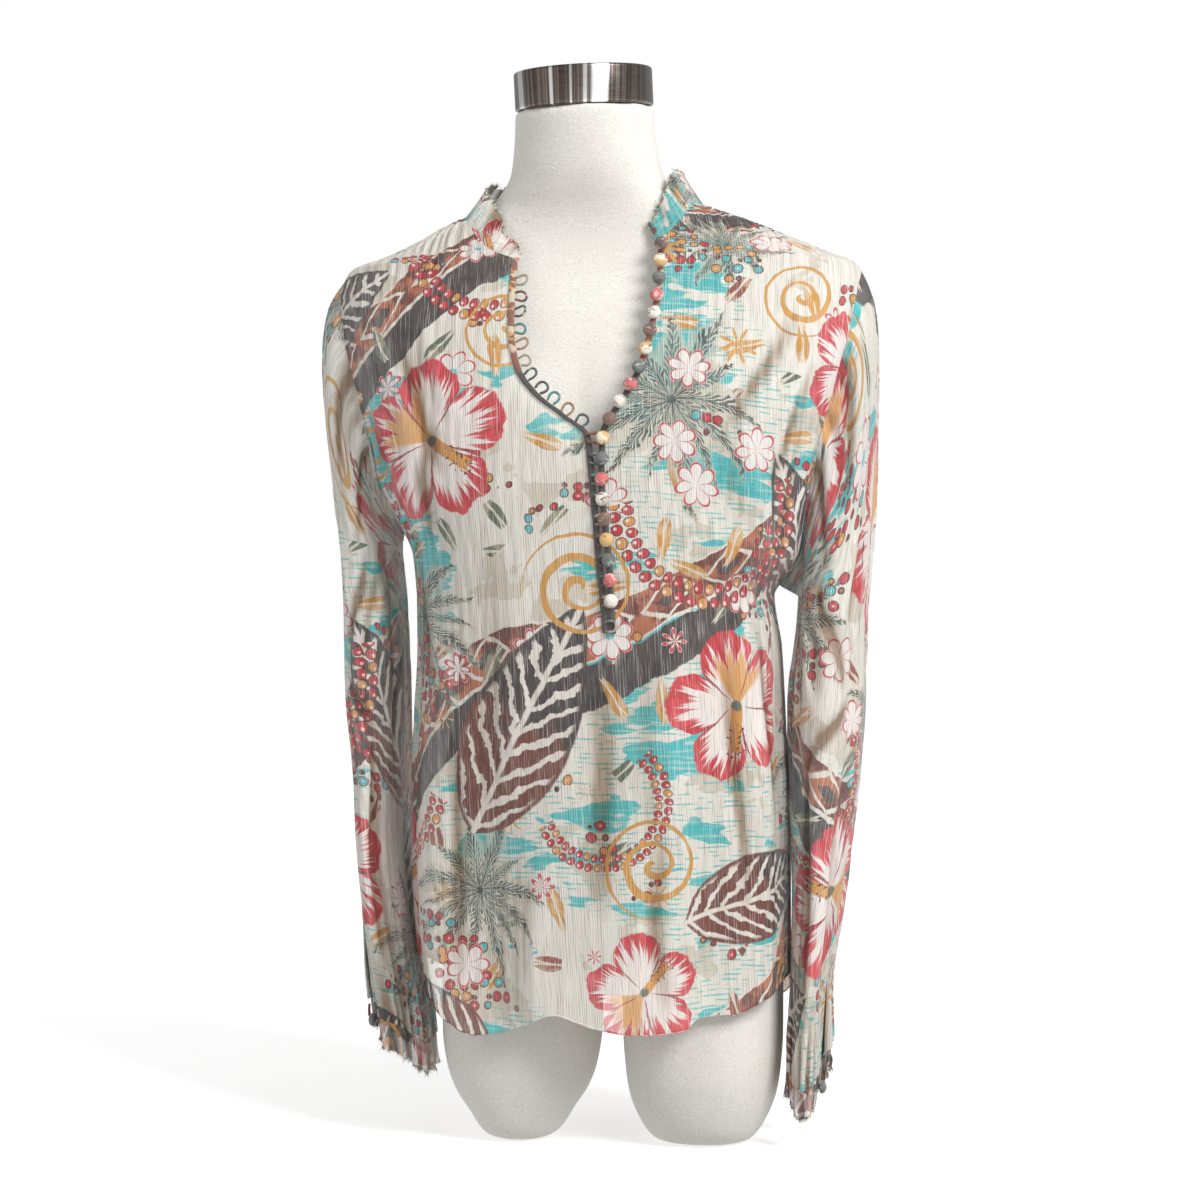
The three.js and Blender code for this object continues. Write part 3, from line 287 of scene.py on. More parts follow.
class Look:
    """A material and the nodes that make it."""

    def __init__(self, name):
        self.material = bpy.data.materials.new(name)
        self.material.use_nodes = True
        self.tree = self.material.node_tree
        self.shader = self.tree.nodes["Principled BSDF"]

    def node(self, kind, inputs, **settings):
        """A node of a kind. Its settings come first, then the values or links of its sockets."""
        made = self.tree.nodes.new(kind)
        for key, value in settings.items():
            setattr(made, key, value)
        for key, value in inputs.items():
            self.feed(made.inputs[key], value)
        return made

    def feed(self, socket, value):
        if isinstance(value, Field):
            value = value.socket
        if isinstance(value, bpy.types.NodeSocket):
            self.tree.links.new(value, socket)
        else:
            socket.default_value = value

    def math(self, operation, *values):
        node = self.node("ShaderNodeMath", dict(enumerate(values)), operation=operation)
        return Field(self, node.outputs[0])

    def vector(self, operation, *values, **named):
        """A Vector Math node's vector."""
        inputs = dict(enumerate(values))
        inputs.update(named)
        return self.node("ShaderNodeVectorMath", inputs, operation=operation).outputs["Vector"]

    def length(self, value):
        node = self.node("ShaderNodeVectorMath", {0: value}, operation="LENGTH")
        return Field(self, node.outputs["Value"])

    def parts(self, value):
        node = self.node("ShaderNodeSeparateXYZ", {0: value})
        return [Field(self, socket) for socket in node.outputs]

    def join(self, x, y, z=0.0):
        return self.node("ShaderNodeCombineXYZ", {0: x, 1: y, 2: z}).outputs[0]

    def smooth(self, value, start, end, low=0.0, high=1.0):
        """A smooth step of `value` from `low` at `start` to `high` at `end`."""
        node = self.node(
            "ShaderNodeMapRange",
            {"Value": value, "From Min": start, "From Max": end, "To Min": low, "To Max": high},
            interpolation_type="SMOOTHSTEP",
        )
        return Field(self, node.outputs["Result"])

    def paint(self, share, below, above, blend="MIX"):
        """The colour `above` laid over `below` where `share` is 1."""
        node = self.node("ShaderNodeMix", {0: share, 6: below, 7: above}, data_type="RGBA", blend_type=blend)
        return node.outputs[2]

    def choose(self, share, first, second):
        """One vector or the other."""
        return self.node("ShaderNodeMix", {0: share, 4: first, 5: second}, data_type="VECTOR").outputs[1]

    def noise(self, place, scale, detail=2.0, roughness=0.5, **more):
        inputs = {"Vector": place, "Scale": scale, "Detail": detail, "Roughness": roughness}
        inputs.update(more)
        return Field(self, self.node("ShaderNodeTexNoise", inputs).outputs["Fac"])

    def finish(self, **values):
        """Sets the shader's sockets, named with _ for a space."""
        for key, value in values.items():
            self.feed(self.shader.inputs[key.replace("_", " ")], value)
        return self.material


def ink(red, green, blue):
    """A colour given by its 0 to 255 values."""
    level = [v / 255 for v in (red, green, blue)]
    return tuple(v / 12.92 if v <= 0.04045 else ((v + 0.055) / 1.055) ** 2.4 for v in level) + (1.0,)


THREAD_PITCH = 0.0011


def form_cover_look():
    look = Look("form_cover")
    place = look.node("ShaderNodeTexCoord", {}).outputs["Object"]
    x, y, z = look.parts(place)
    threads = 2 * math.pi / THREAD_PITCH
    weave = (x * threads).sum("SINE") * (z * threads).sum("SINE") + (y * threads).sum("SINE") * 0.6
    slubs = look.noise(look.join(x * 0.5, y * 0.5, z * 1.4), 520, 3, 0.65)
    flecks = look.smooth(slubs, 0.63, 0.72)
    pale_flecks = look.smooth(look.noise(look.join(x * 1.3, y * 1.3, z * 0.6), 430, 2, 0.6), 0.62, 0.72)
    soil = look.noise(place, 9, 3)
    grain = look.noise(look.join(x, y, z * 1.7), 760, 2, 0.7)
    cover = look.paint(look.smooth(soil, 0.35, 0.75), ink(232, 228, 221), ink(222, 218, 210))
    cover = look.paint(look.smooth(grain, 0.52, 0.66) * 0.55, cover, ink(252, 250, 246))
    cover = look.paint(look.smooth(grain, 0.46, 0.32) * 0.40, cover, ink(186, 178, 168))
    cover = look.paint(flecks * 0.45, cover, ink(150, 140, 128))
    cover = look.paint(pale_flecks * 0.5, cover, ink(246, 243, 236))
    height = weave * 0.18 + slubs * 0.7
    bump = look.node("ShaderNodeBump", {"Strength": 0.35, "Distance": 0.0006, "Height": height})
    return look.finish(Base_Color=cover, Roughness=0.86, Normal=bump.outputs[0], Sheen_Weight=0.15)


form.data.materials.clear()
form.data.materials.append(form_cover_look())
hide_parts("dress_form")
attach(form, "root")

# The neck cap.
# A spun steel cap that closes the form's neck, brushed round its side, with a rolled edge and a shallow dish.
CAP = {"radius": 0.0545, "height": 0.030, "edge": 0.0022, "gap": 0.00035}
cap_middle = Vector((FORM["shift_x"][-1], FORM["shift_y"][-1], FORM["z"][-1])) + Vector(shift)
cap_middle = cap_middle / 1000 + Vector((0, 0, CAP["gap"]))
CAP_RINGS = ((0.006, 0.0), (0.003, -0.0014), (0.022, 0.0), (0.002, -0.0006))  # the dish: widths and drops
bpy.ops.object.select_all(action="DESELECT")
bpy.ops.mesh.primitive_cylinder_add(
    vertices=160, radius=CAP["radius"], depth=CAP["height"], location=(0, 0, CAP["height"] / 2)
)
cap = bpy.context.object
cap.name = cap.data.name = "neck_cap_metal"
bpy.ops.object.transform_apply(location=True, rotation=True, scale=True)
bpy.ops.object.mode_set(mode="EDIT")
bpy.ops.mesh.select_all(action="DESELECT")
bpy.ops.object.mode_set(mode="OBJECT")
for face in cap.data.polygons:
    face.select = face.normal.z > 0.9
bpy.ops.object.mode_set(mode="EDIT")
for ring_width, ring_drop in CAP_RINGS:
    bpy.ops.mesh.inset(thickness=ring_width, depth=ring_drop)
bpy.ops.object.mode_set(mode="OBJECT")
apply_modifier(
    cap, "BEVEL", width=CAP["edge"], segments=5, limit_method="ANGLE", angle_limit=math.radians(50)
)
cap.rotation_euler = (math.radians(NECK_TILT["forward"]), math.radians(-NECK_TILT["sideways"]), 0)
cap.location = cap_middle
select_only(cap)
bpy.ops.object.transform_apply(location=True, rotation=True, scale=True)
bpy.ops.object.shade_smooth_by_angle(angle=math.radians(35))

# The painted reflections up the cap's side, as bright bands: each one's middle and half width in radians, and
# how bright it is.
CAP_REFLECTION_BANDS = (
    (0.38, 0.15, 1.0),
    (0.17, 0.035, 0.7),
    (-0.03, 0.02, 0.6),
    (-0.32, 0.03, 0.55),
    (-0.95, 0.1, 0.6),
)


def cap_look():
    look = Look("cap_metal")
    place = look.node("ShaderNodeTexCoord", {}).outputs["Object"]
    centred = look.vector("SUBTRACT", place, tuple(cap_middle))
    x, y, z = look.parts(centred)
    round_it = look.math("ARCTAN2", x, y * -1)
    side_x, side_y = round_it.sum("SINE"), round_it.sum("COSINE")
    # Painted reflections: dark and light bands painted up its side stand in for the studio's reflections in
    # the steel.
    bands = look.noise(look.join(side_x * 2.6, side_y * 2.6, z * 1.5), 1.55, 2.5, 0.62, Distortion=0.3)
    thin_bands = look.noise(look.join(side_x * 16, side_y * 16, z * 2), 2.0, 2, 0.6)
    lines = look.noise(look.join(round_it * 2.5, z * 3400), 1.0, 3, 0.7)
    painted_reflection = look.smooth(bands * look.smooth(side_y, 0.3, -0.4) + (thin_bands - 0.5) * 0.3, 0.42, 0.66) * 0.8
    for middle, half, share in CAP_REFLECTION_BANDS:
        painted_reflection = look.math("MAXIMUM", painted_reflection, look.smooth(abs(round_it - middle), half, half * 0.6) * share)
    dark = look.paint(look.smooth(thin_bands, 0.42, 0.56), ink(66, 50, 42), ink(112, 104, 98))
    steel = look.paint(painted_reflection, dark, ink(250, 249, 248))
    steel = look.paint(look.smooth(lines, 0.3, 0.7) * 0.25, steel, ink(150, 147, 144))
    # The top is turned, with fine rings round its middle.
    reach = look.length(look.join(x, y))
    top = look.smooth(reach, 0.0518, 0.0500)
    rings = look.noise(look.join(reach * 3000, 0.0), 1.0, 2)
    turned = look.paint(look.smooth(rings, 0.35, 0.65), ink(192, 188, 184), ink(226, 223, 219))
    steel = look.paint(top, steel, turned)
    bump = look.node("ShaderNodeBump", {"Strength": 0.25, "Distance": 0.0002, "Height": lines * (1 - top)})
    matt = look.smooth(lines, 0.2, 0.8, 0.24, 0.36)
    return look.finish(Base_Color=steel, Metallic=1.0, Roughness=matt, Normal=bump.outputs[0])


cap.data.materials.append(cap_look())
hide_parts("neck_cap")
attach(cap, "root")

# The blouse's front and back.
# Crinkled silk chiffon, printed and then cut as one front with a slit and one back. They are sewn to each
# other at the sides and shoulders with narrow seams, and hang from the shoulders and the bust.
BODY_POWER = 2.45
BODY = table(
    "z left right front back",
    (70, 137, 152, 112, 120),
    (130, 144, 152, 112, 121),
    (180, 149, 152, 113, 121),
    (220, 151, 152, 114, 120),
    (270, 150, 151, 117, 117),
    (330, 146.5, 148, 119, 113),
    (390, 143, 145, 121, 109),
    (432, 144, 139, 123, 107),
    (440, 145, 143, 123, 107),
    (450, 146, 153, 124, 107),
    (465, 148, 164, 124, 107),
    (495, 163, 170, 124, 108),
    (525, 180, 179, 123, 109),
    (560, 191, 190, 120, 110),
    (600, 203, 202, 109, 109),
    (640, 212, 211, 95, 101),
    (668, 212, 212, 82, 91),
    (684, 208, 210, 73, 82),
    (693, 202, 204, 69, 78),
    (703, 173, 180, 66, 72),
    (714, 147, 154, 65, 67),
    (726, 121, 123, 65, 63),
    (738, 95, 89, 65, 59),
    (741, 90, 84, 65, 58),
    (752, 77, 70, 65, 57),
)
BODY_SHIFT = table("z y", (690, 0), (738, -8))
BODY_FOLDS = table(
    "angle top foot wide depth",
    (-47, 500, 120, 9, 9),
    (-24, 430, 100, 10, -11),
    (13, 400, 110, 13, 6),
    (38, 460, 120, 9, -9),
    (62, 480, 150, 8, 7),
    (-72, 470, 200, 7, -7),
    (118, 560, 160, 9, 8),
    (142, 600, 140, 9, -8),
    (168, 560, 120, 11, 8),
    (-160, 590, 120, 10, -8),
    (-137, 560, 140, 9, 8),
    (-113, 520, 170, 8, -6),
)


def rows_of(named):
    """A table's rows, each with its named values."""
    return [dict(zip(named, values)) for values in zip(*named.values())]


def fold_depth(angle, z):
    depth = 0
    for fold in rows_of(BODY_FOLDS):
        turn = angle - math.radians(fold["angle"])
        turn = np.arctan2(np.sin(turn), np.cos(turn)) / math.radians(fold["wide"])
        depth = depth + fold["depth"] * np.exp(-(turn**2)) * ramp(z, fold["top"], fold["foot"])
    return depth


def body_point(angle, z):
    half = np.where(np.sin(angle) < 0, read(BODY, "z", z, "left"), read(BODY, "z", z, "right"))
    front, back = read(BODY, "z", z, "front"), read(BODY, "z", z, "back")
    x, y = ring_point(half, front, back, BODY_POWER, angle)
    depth = np.where(y < 0, front, back)
    out_x, out_y = x / half**2, y / depth**2
    push = fold_depth(angle, z) / np.hypot(out_x, out_y)
    return np.stack([x + out_x * push, y + read(BODY_SHIFT, "z", z, "y") + out_y * push, z + 0 * x], -1)


def body_normal(angle, z):
    around = body_point(angle + 0.006, z) - body_point(angle - 0.006, z)
    up = body_point(angle, z + 1.5) - body_point(angle, z - 1.5)
    normal = np.cross(around, up)
    return normal / np.linalg.norm(normal, axis=-1, keepdims=True)


def angle_at(x, z):
    """The ring angle at which the front lies at `x`."""
    half = np.where(x < 0, read(BODY, "z", z, "left"), read(BODY, "z", z, "right"))
    return np.sign(x) * np.arcsin(np.clip(np.abs(x) / half, 0, 1) ** (BODY_POWER / 2))


UNDERARM = 0.55
SLIT_FOOT = 0.44
NECK = 0.925
# The panels' outer edges: the side seam, and above UNDERARM the armhole, with the ring angle of each panel.
OUTER = {
    LEFT: table(
        "share front back z",
        (0, 90, 90, 140),
        (UNDERARM, 90, 90, 489),
        (0.6, 80, 100, 498),
        (0.68, 73, 107, 526),
        (0.78, 66, 112, 566),
        (0.88, 67, 111, 622),
        (0.95, 76, 103, 670),
        (1, 90, 90, 693),
    ),
    RIGHT: table(
        "share front back z",
        (0, 90, 90, 134),
        (UNDERARM, 90, 90, 440),
        (0.6, 84, 96, 457),
        (0.68, 77, 104, 502),
        (0.78, 71, 111, 560),
        (0.88, 70, 111, 620),
        (0.95, 76, 103, 669),
        (1, 90, 90, 693),
    ),
}
# The front's inner edge: the centre line below the slit, the slit's edge, and above NECK the neck seam.
FRONT_INNER = {
    LEFT: table(
        "share x z",
        (0, 20, 102),
        (SLIT_FOOT, 26, 400),
        (0.5, 22, 452),
        (0.6, 16, 520),
        (0.66, 12, 552),
        (0.7, -7, 568),
        (0.74, -28, 584),
        (0.79, -43.5, 604),
        (0.85, -51, 632),
        (0.89, -53, 662),
        (NECK, -54, 690),
        (0.965, -78, 703),
        (0.98, -92, 718),
        (0.99, -98.5, 727),
        (1, -103, 734),
    ),
    RIGHT: table(
        "share x z",
        (0, 20, 102),
        (SLIT_FOOT, 26, 400),
        (0.5, 24.2, 452),
        (0.6, 18.2, 520),
        (0.66, 19, 554),
        (0.7, 29, 574),
        (0.74, 38.5, 590),
        (0.79, 46, 608),
        (0.85, 53, 640),
        (0.89, 56, 672),
        (NECK, 56, 703),
        (0.965, 68, 716),
        (0.98, 76, 726),
        (0.99, 80.5, 734),
        (1, 84, 741),
    ),
}
NECK_SEAM_BACK = 735
HEM = table(
    "angle z",
    (-180, 96),
    (-160, 93),
    (-140, 96),
    (-118, 112),
    (-104, 130),
    (-90, 140),
    (-66, 139),
    (-53, 131),
    (-45, 108),
    (-33, 93),
    (-24, 95),
    (-14, 102),
    (-4, 112),
    (3, 103),
    (12, 99),
    (27, 101),
    (34, 110),
    (47, 111),
    (59, 121),
    (74, 131),
    (90, 134),
    (106, 124),
    (122, 106),
    (142, 94),
    (162, 93),
    (180, 96),
)


def mix(a, b, share):
    return a + (b - a) * share


def panel_half(side, panel, inner_at, shares, across):
    """Ring angles and heights over half a panel. `across` runs from the outer edge, 0, to the inner, 1."""
    share, t = np.meshgrid(shares, across, indexing="ij")
    edge = np.radians(read(OUTER[side], "share", share, panel)) * side
    edge_z = read(OUTER[side], "share", share, "z")
    inner_angle, inner_z = inner_at(share)
    foot = OUTER[side]["z"][0]
    inner_foot = inner_at(np.zeros(1))[1][0]
    angle = mix(edge, inner_angle, t)
    hem_lift = read(HEM, "angle", np.degrees(angle), "z") - mix(foot, inner_foot, t)
    return angle, mix(edge_z, inner_z, t) + hem_lift * (1 - ramp(share, 0, UNDERARM))


def evenly(corners, step, scale):
    """Values from the first corner to the last, through all of them, about `step` apart."""
    spans = [
        np.linspace(a, b, max(2, int(math.ceil((b - a) * scale / step)) + 1))[:-1]
        for a, b in zip(corners, corners[1:])
    ]
    return np.concatenate(spans + [corners[-1:]])


CLOTH_STEP, PANEL_HEIGHT = 2.6, 620
YOKE, YOKE_Z = 0.85, 680  # where the back turns to the slope of the shoulder
front_corners = [0, 0.2, SLIT_FOOT, UNDERARM, 0.7, NECK, 0.965, 0.98, 0.99, 1]
front_shares = evenly(front_corners, CLOTH_STEP, PANEL_HEIGHT)
front_shares = np.unique(np.concatenate([front_shares, np.linspace(0.95, 1, 40)]))
back_shares = evenly([0, UNDERARM, YOKE, 1], CLOTH_STEP, PANEL_HEIGHT)
half_across = np.linspace(0, 1, 92)


def front_part(side, shares, across):
    """Ring angles and heights over a part of half the front."""

    def inner_at(share):
        z = read(FRONT_INNER[side], "share", share, "z")
        return angle_at(read(FRONT_INNER[side], "share", share, "x"), z), z

    return panel_half(side, "front", inner_at, shares, across)


def front_half(side):
    return front_part(side, front_shares, half_across)


def back_half(side):
    """The back's ring angles and heights. Above the yoke line they turn to the slope of the shoulder."""
    centre_foot = float(HEM["z"][-1])

    def inner_at(share):
        return side * np.pi + 0 * share, mix(centre_foot, YOKE_Z, np.minimum(share / YOKE, 1))

    angle, z = panel_half(side, "back", inner_at, back_shares, half_across)
    share, t = np.meshgrid(back_shares, half_across, indexing="ij")
    edge = np.radians(read(OUTER[side], "share", share, "back")) * side
    edge_z = read(OUTER[side], "share", share, "z")
    foot = math.radians(float(read(OUTER[side], "share", YOKE, "back"))) * side
    foot_z = float(read(OUTER[side], "share", YOKE, "z"))
    tip, tip_z = math.pi / 2 * side, OUTER[side]["z"][-1]
    neck_z = float(read(FRONT_INNER[side], "share", 1, "z"))
    seam = 6 / 11  # the shoulder seam's share of the top row
    lift = np.clip((share - YOKE) / (1 - YOKE), 0, 1)
    along, past = np.clip(t / seam, 0, 1), np.clip((t - seam) / (1 - seam), 0, 1)
    seam_angle = mix(tip, np.pi * side, past)
    seam_z = mix(mix(tip_z, neck_z, along), NECK_SEAM_BACK, past)
    top_angle = mix(mix(foot, np.pi * side, t), seam_angle, lift)
    top_z = mix(mix(foot_z, YOKE_Z, t), seam_z, lift)
    top_angle = top_angle + (1 - t) * (edge - mix(foot, tip, lift))
    top_z = top_z + (1 - t) * (edge_z - mix(foot_z, tip_z, lift))
    high = share > YOKE
    return np.where(high, top_angle, angle), np.where(high, top_z, z)


# Distances over the cloth, across and up, so that the print and the crinkle keep their scale.
map_angles = np.linspace(-np.pi, np.pi, 361)
map_levels = np.linspace(85, 745, 221)
front_column = len(map_angles) // 2
ring_grid = body_point(*np.meshgrid(map_angles, map_levels))
steps_across = np.linalg.norm(np.diff(ring_grid, axis=1), axis=-1)
across_map = np.concatenate([np.zeros((len(map_levels), 1)), np.cumsum(steps_across, 1)], 1)
across_map -= across_map[:, front_column : front_column + 1]
steps_up = np.linalg.norm(np.diff(ring_grid, axis=0), axis=-1)
up_map = np.concatenate([np.zeros((1, len(map_angles))), np.cumsum(steps_up, 0)], 0)


def look_up(grid, angle, z):
    """The value of a map of the body's rings at an angle and height."""
    column = (angle - map_angles[0]) / (map_angles[1] - map_angles[0])
    row = (z - map_levels[0]) / (map_levels[1] - map_levels[0])
    column, row = np.clip(column, 0, len(map_angles) - 1.001), np.clip(row, 0, len(map_levels) - 1.001)
    i, j = row.astype(int), column.astype(int)
    s, t = row - i, column - j
    low = mix(grid[i, j], grid[i, j + 1], t)
    return mix(low, mix(grid[i + 1, j], grid[i + 1, j + 1], t), s)


# Creases, each from a head to a foot, in degrees round the body and millimetres up.
BODY_CREASES = table(
    "angle_head z_head angle_foot z_foot wide depth",
    (-44, 640, -30, 520, 7, -1.6),
    (-33, 655, -24, 560, 5, 1.2),
    (-30, 560, -52, 470, 8, -1.8),
    (-57, 600, -50, 500, 6, 1.5),
    (44, 650, 33, 545, 7, -1.5),
    (38, 560, 55, 480, 8, 1.6),
    (58, 610, 50, 505, 6, -1.4),
    (64, 560, 72, 455, 7, 2.0),
    (-66, 560, -74, 500, 6, -1.8),
    (-58, 470, -38, 330, 9, 1.8),
    (-12, 470, -20, 250, 9, 1.5),
    (2, 390, 6, 180, 8, -1.6),
    (24, 440, 26, 210, 8, 1.6),
    (48, 400, 50, 190, 8, -1.8),
    (-36, 330, -37, 130, 7, -1.7),
    (-8, 240, -9, 110, 6, 1.5),
    (19, 250, 20, 110, 7, -1.5),
    (66, 420, 70, 240, 7, -1.6),
    (-82, 460, -84, 250, 7, 1.6),
    (82, 400, 84, 220, 7, 1.5),
    (106, 560, 112, 430, 7, -1.7),
    (128, 620, 124, 480, 8, 1.7),
    (150, 560, 154, 380, 8, -1.8),
    (176, 480, 178, 250, 9, 1.7),
    (-172, 620, -168, 430, 8, -1.6),
    (-148, 560, -150, 360, 8, 1.8),
    (-126, 480, -124, 300, 7, -1.6),
    (-106, 560, -110, 420, 7, 1.6),
    (132, 330, 131, 130, 7, 1.6),
    (155, 280, 156, 120, 7, -1.5),
    (-176, 300, -176, 110, 8, 1.6),
    (-149, 260, -148, 120, 7, -1.6),
)
MM_PER_DEGREE = 2.35
BODY_CREASE_DEPTH = 1.6  # how much deeper the creases lie than the table's depths
RIB_PITCHES = (11, 7.3)


def crease_rows(creases, around, mm_around, deeper):
    """The rows of a table of creases, in millimetres. `around` names its columns for the way round."""
    return [
        {
            "head_x": crease[around + "_head"] * mm_around,
            "head_y": crease["z_head"],
            "foot_x": crease[around + "_foot"] * mm_around,
            "foot_y": crease["z_foot"],
            "wide": crease["wide"],
            "depth": crease["depth"] * deeper,
        }
        for crease in rows_of(creases)
    ]


def crease_depth(rows, across, up):
    """The depth of soft uneven creases at a place, all in millimetres over the cloth."""
    depth = 0
    for i, crease in enumerate(rows):
        run = np.array([crease["foot_x"] - crease["head_x"], crease["foot_y"] - crease["head_y"]])
        long = np.hypot(*run)
        run = run / long
        x, y = across - crease["head_x"], up - crease["head_y"]
        along = (x * run[0] + y * run[1]) / long
        off = x * run[1] - y * run[0] + crease["wide"] * 0.45 * np.sin(along * 5.5 + i * 1.7)
        fade = np.sin(np.pi * np.clip(along, 0, 1)) ** 0.8
        trough = np.exp(-((off / crease["wide"]) ** 2))
        ridge = np.exp(-(((off - 1.9 * crease["wide"]) / (1.3 * crease["wide"])) ** 2))
        depth = depth + crease["depth"] * fade * (trough - 0.5 * ridge)
    return depth


def crinkle(across, up, seed):
    """The shallow rib of the crinkled cloth, as a height in millimetres."""
    sway = 5 * np.sin(up / 63 + across / 90 + seed) + 2.5 * np.sin(up / 27 - across / 41)
    wide_pitch, narrow_pitch = RIB_PITCHES
    rib = np.sin((across + sway) * 2 * np.pi / wide_pitch)
    rib = rib + 0.7 * np.sin((across - 0.8 * sway) * 2 * np.pi / narrow_pitch + 1.3)
    return rib * (0.22 + 0.15 * np.sin(across / 37 + up / 55) * np.sin(up / 71 - 0.7))


def body_detail(angle, z):
    """Creases and crinkle, as a height in millimetres."""
    rows = crease_rows(BODY_CREASES, "angle", MM_PER_DEGREE, BODY_CREASE_DEPTH)
    creases = crease_depth(rows, np.degrees(angle) * MM_PER_DEGREE, z)
    return creases + crinkle(look_up(across_map, angle, z), z, 0)


def join_doubles(mesh, reach):
    """Joins the points of a mesh that lie within `reach` of each other."""
    shape = bmesh.new()
    shape.from_mesh(mesh)
    bmesh.ops.remove_doubles(shape, verts=shape.verts, dist=reach)
    shape.to_mesh(mesh)
    shape.free()


def cloth_object(name, grids, uvs, flips, dips=()):
    """One cloth mesh from grids of points in table millimetres, joined where their edges meet.
    `dips` says how far each point lies in a fold, from 0 to 1."""
    mesh = bpy.data.meshes.new(name)
    places, faces, maps, start = [], [], [], 0
    for grid, uv, flip in zip(grids, uvs, flips):
        rows, columns = grid.shape[:2]
        number = np.arange(rows * columns).reshape(rows, columns) + start
        corners = [number[:-1, :-1], number[:-1, 1:], number[1:, 1:], number[1:, :-1]]
        quads = np.stack(corners, -1).reshape(-1, 4)
        faces.append(quads[:, ::-1] if flip else quads)
        places.append(grid.reshape(-1, 3))
        maps.append(uv.reshape(-1, 2))
        start += rows * columns
    places, faces = (np.concatenate(places) + shift) / 1000, np.concatenate(faces)
    maps = np.concatenate(maps) / 1000
    mesh.vertices.add(len(places))
    mesh.vertices.foreach_set("co", places.ravel())
    mesh.loops.add(faces.size)
    mesh.loops.foreach_set("vertex_index", faces.ravel())
    mesh.polygons.add(len(faces))
    mesh.polygons.foreach_set("loop_start", np.arange(len(faces)) * 4)
    mesh.update(calc_edges=True)
    layer = mesh.uv_layers.new(name="cloth")
    layer.uv.foreach_set("vector", maps[faces.ravel()].ravel())
    if dips:
        layer = mesh.attributes.new("dip", "FLOAT", "POINT")
        layer.data.foreach_set("value", np.clip(np.concatenate([dip.ravel() for dip in dips]), 0, 1))
    join_doubles(mesh, 0.00006)
    mesh.shade_smooth()
    made = bpy.data.objects.new(name, mesh)
    bpy.context.collection.objects.link(made)
    return made


def wander(at, seed):
    """A smooth uneven wave between about -1 and 1."""
    return (np.sin(at + seed) + np.sin(1.73 * at + 2.1 * seed) + 0.7 * np.sin(2.91 * at + 3.7 * seed)) / 2.4


FRONT_HALF_WIDTH = 150
GATHER_PITCH = 8.6  # of the gathers along the front's neck and shoulder
# A point's depth in a fold darkens the print there as painted shade.
BODY_DIP_DEPTH, SLEEVE_DIP_DEPTH = 2.2, 2.0  # the depths that count as deep in a fold


def body_cloth(name, halves, print_shift, flips):
    """A panel's object, its grids and its maps."""
    grids, maps, dips = [], [], []
    for angle, z in halves:
        detail = body_detail(angle, z)
        across, up = look_up(across_map, angle, z), look_up(up_map, angle, z)
        if name == "front_cloth":
            share, t = np.meshgrid(front_shares, half_across, indexing="ij")
            from_slit = (1 - t) * FRONT_HALF_WIDTH
            calm = 1 - (1 - ramp(from_slit, 4, 16)) * ramp(share, SLIT_FOOT - 0.03, SLIT_FOOT + 0.01)
            gathers = np.sin(2 * np.pi * (across / GATHER_PITCH + 0.35 * wander(across / 9, 2)))
            gathers = gathers * ramp(share, 0.86, 0.975)
            detail = detail * calm + 0.9 * gathers * ramp(from_slit, 2, 12) * ramp(t, 0.4, 0.75)
        grids.append(body_point(angle, z) + body_normal(angle, z) * detail[..., None])
        if name == "back_cloth":
            across = across - look_up(across_map, np.pi * np.sign(angle), z)
        maps.append(np.stack([across, up], -1) + print_shift)
        dips.append(-detail / BODY_DIP_DEPTH)
    return cloth_object(name, grids, maps, flips, dips), grids, maps


front_halves, back_halves = [[half(LEFT), half(RIGHT)] for half in (front_half, back_half)]
front, front_grids, front_maps = body_cloth("front_cloth", front_halves, (0, 0), (False, True))
back, back_grids, back_maps = body_cloth("back_cloth", back_halves, (290, 240), (True, False))


# The print of the chiffon, in metres over the cloth from the middle of the front's hem. The repeat is 0.64
# across and 0.72 up. Each table places one motif: its middle, its turn in degrees and its radius.
REPEAT = (0.64, 0.72)
BLOSSOMS = table(
    "u v turn size",
    (-0.118, 0.470, 20, 0.076),
    (0.128, 0.262, -40, 0.068),
    (-0.212, 0.118, 75, 0.070),
    (0.232, 0.536, 140, 0.062),
    (0.052, 0.046, 100, 0.052),
    (-0.256, 0.372, -15, 0.060),
    (0.260, 0.092, 200, 0.056),
    (-0.010, 0.600, 60, 0.050),
)
STRIPED_LEAVES = table(
    "u v turn size",
    (-0.040, 0.252, 62, 0.100),
    (0.196, 0.392, 118, 0.082),
    (-0.226, 0.580, 30, 0.076),
    (0.158, 0.118, 15, 0.076),
    (-0.126, 0.020, 150, 0.062),
)
PALM_SPRAYS = table(
    "u v turn size",
    (0.072, 0.498, -20, 0.094),
    (-0.148, 0.330, 35, 0.080),
    (0.236, 0.226, 10, 0.080),
    (-0.082, 0.120, -15, 0.076),
    (-0.252, 0.250, 20, 0.066),
    (0.110, 0.640, 160, 0.060),
)
GARLANDS = table(
    "u v turn size",
    (0.104, 0.416, 12, 0.094),
    (-0.172, 0.204, -25, 0.080),
    (-0.070, 0.640, 20, 0.090),
    (0.236, 0.012, 10, 0.080),
    (0.020, 0.190, 35, 0.064),
)
SCROLLS = table(
    "u v turn size",
    (0.004, 0.352, 40, 0.052),
    (0.060, 0.142, 150, 0.048),
    (-0.060, 0.560, 250, 0.044),
    (-0.186, 0.470, 90, 0.040),
    (0.196, 0.040, 0, 0.044),
    (0.170, 0.590, 200, 0.040),
)


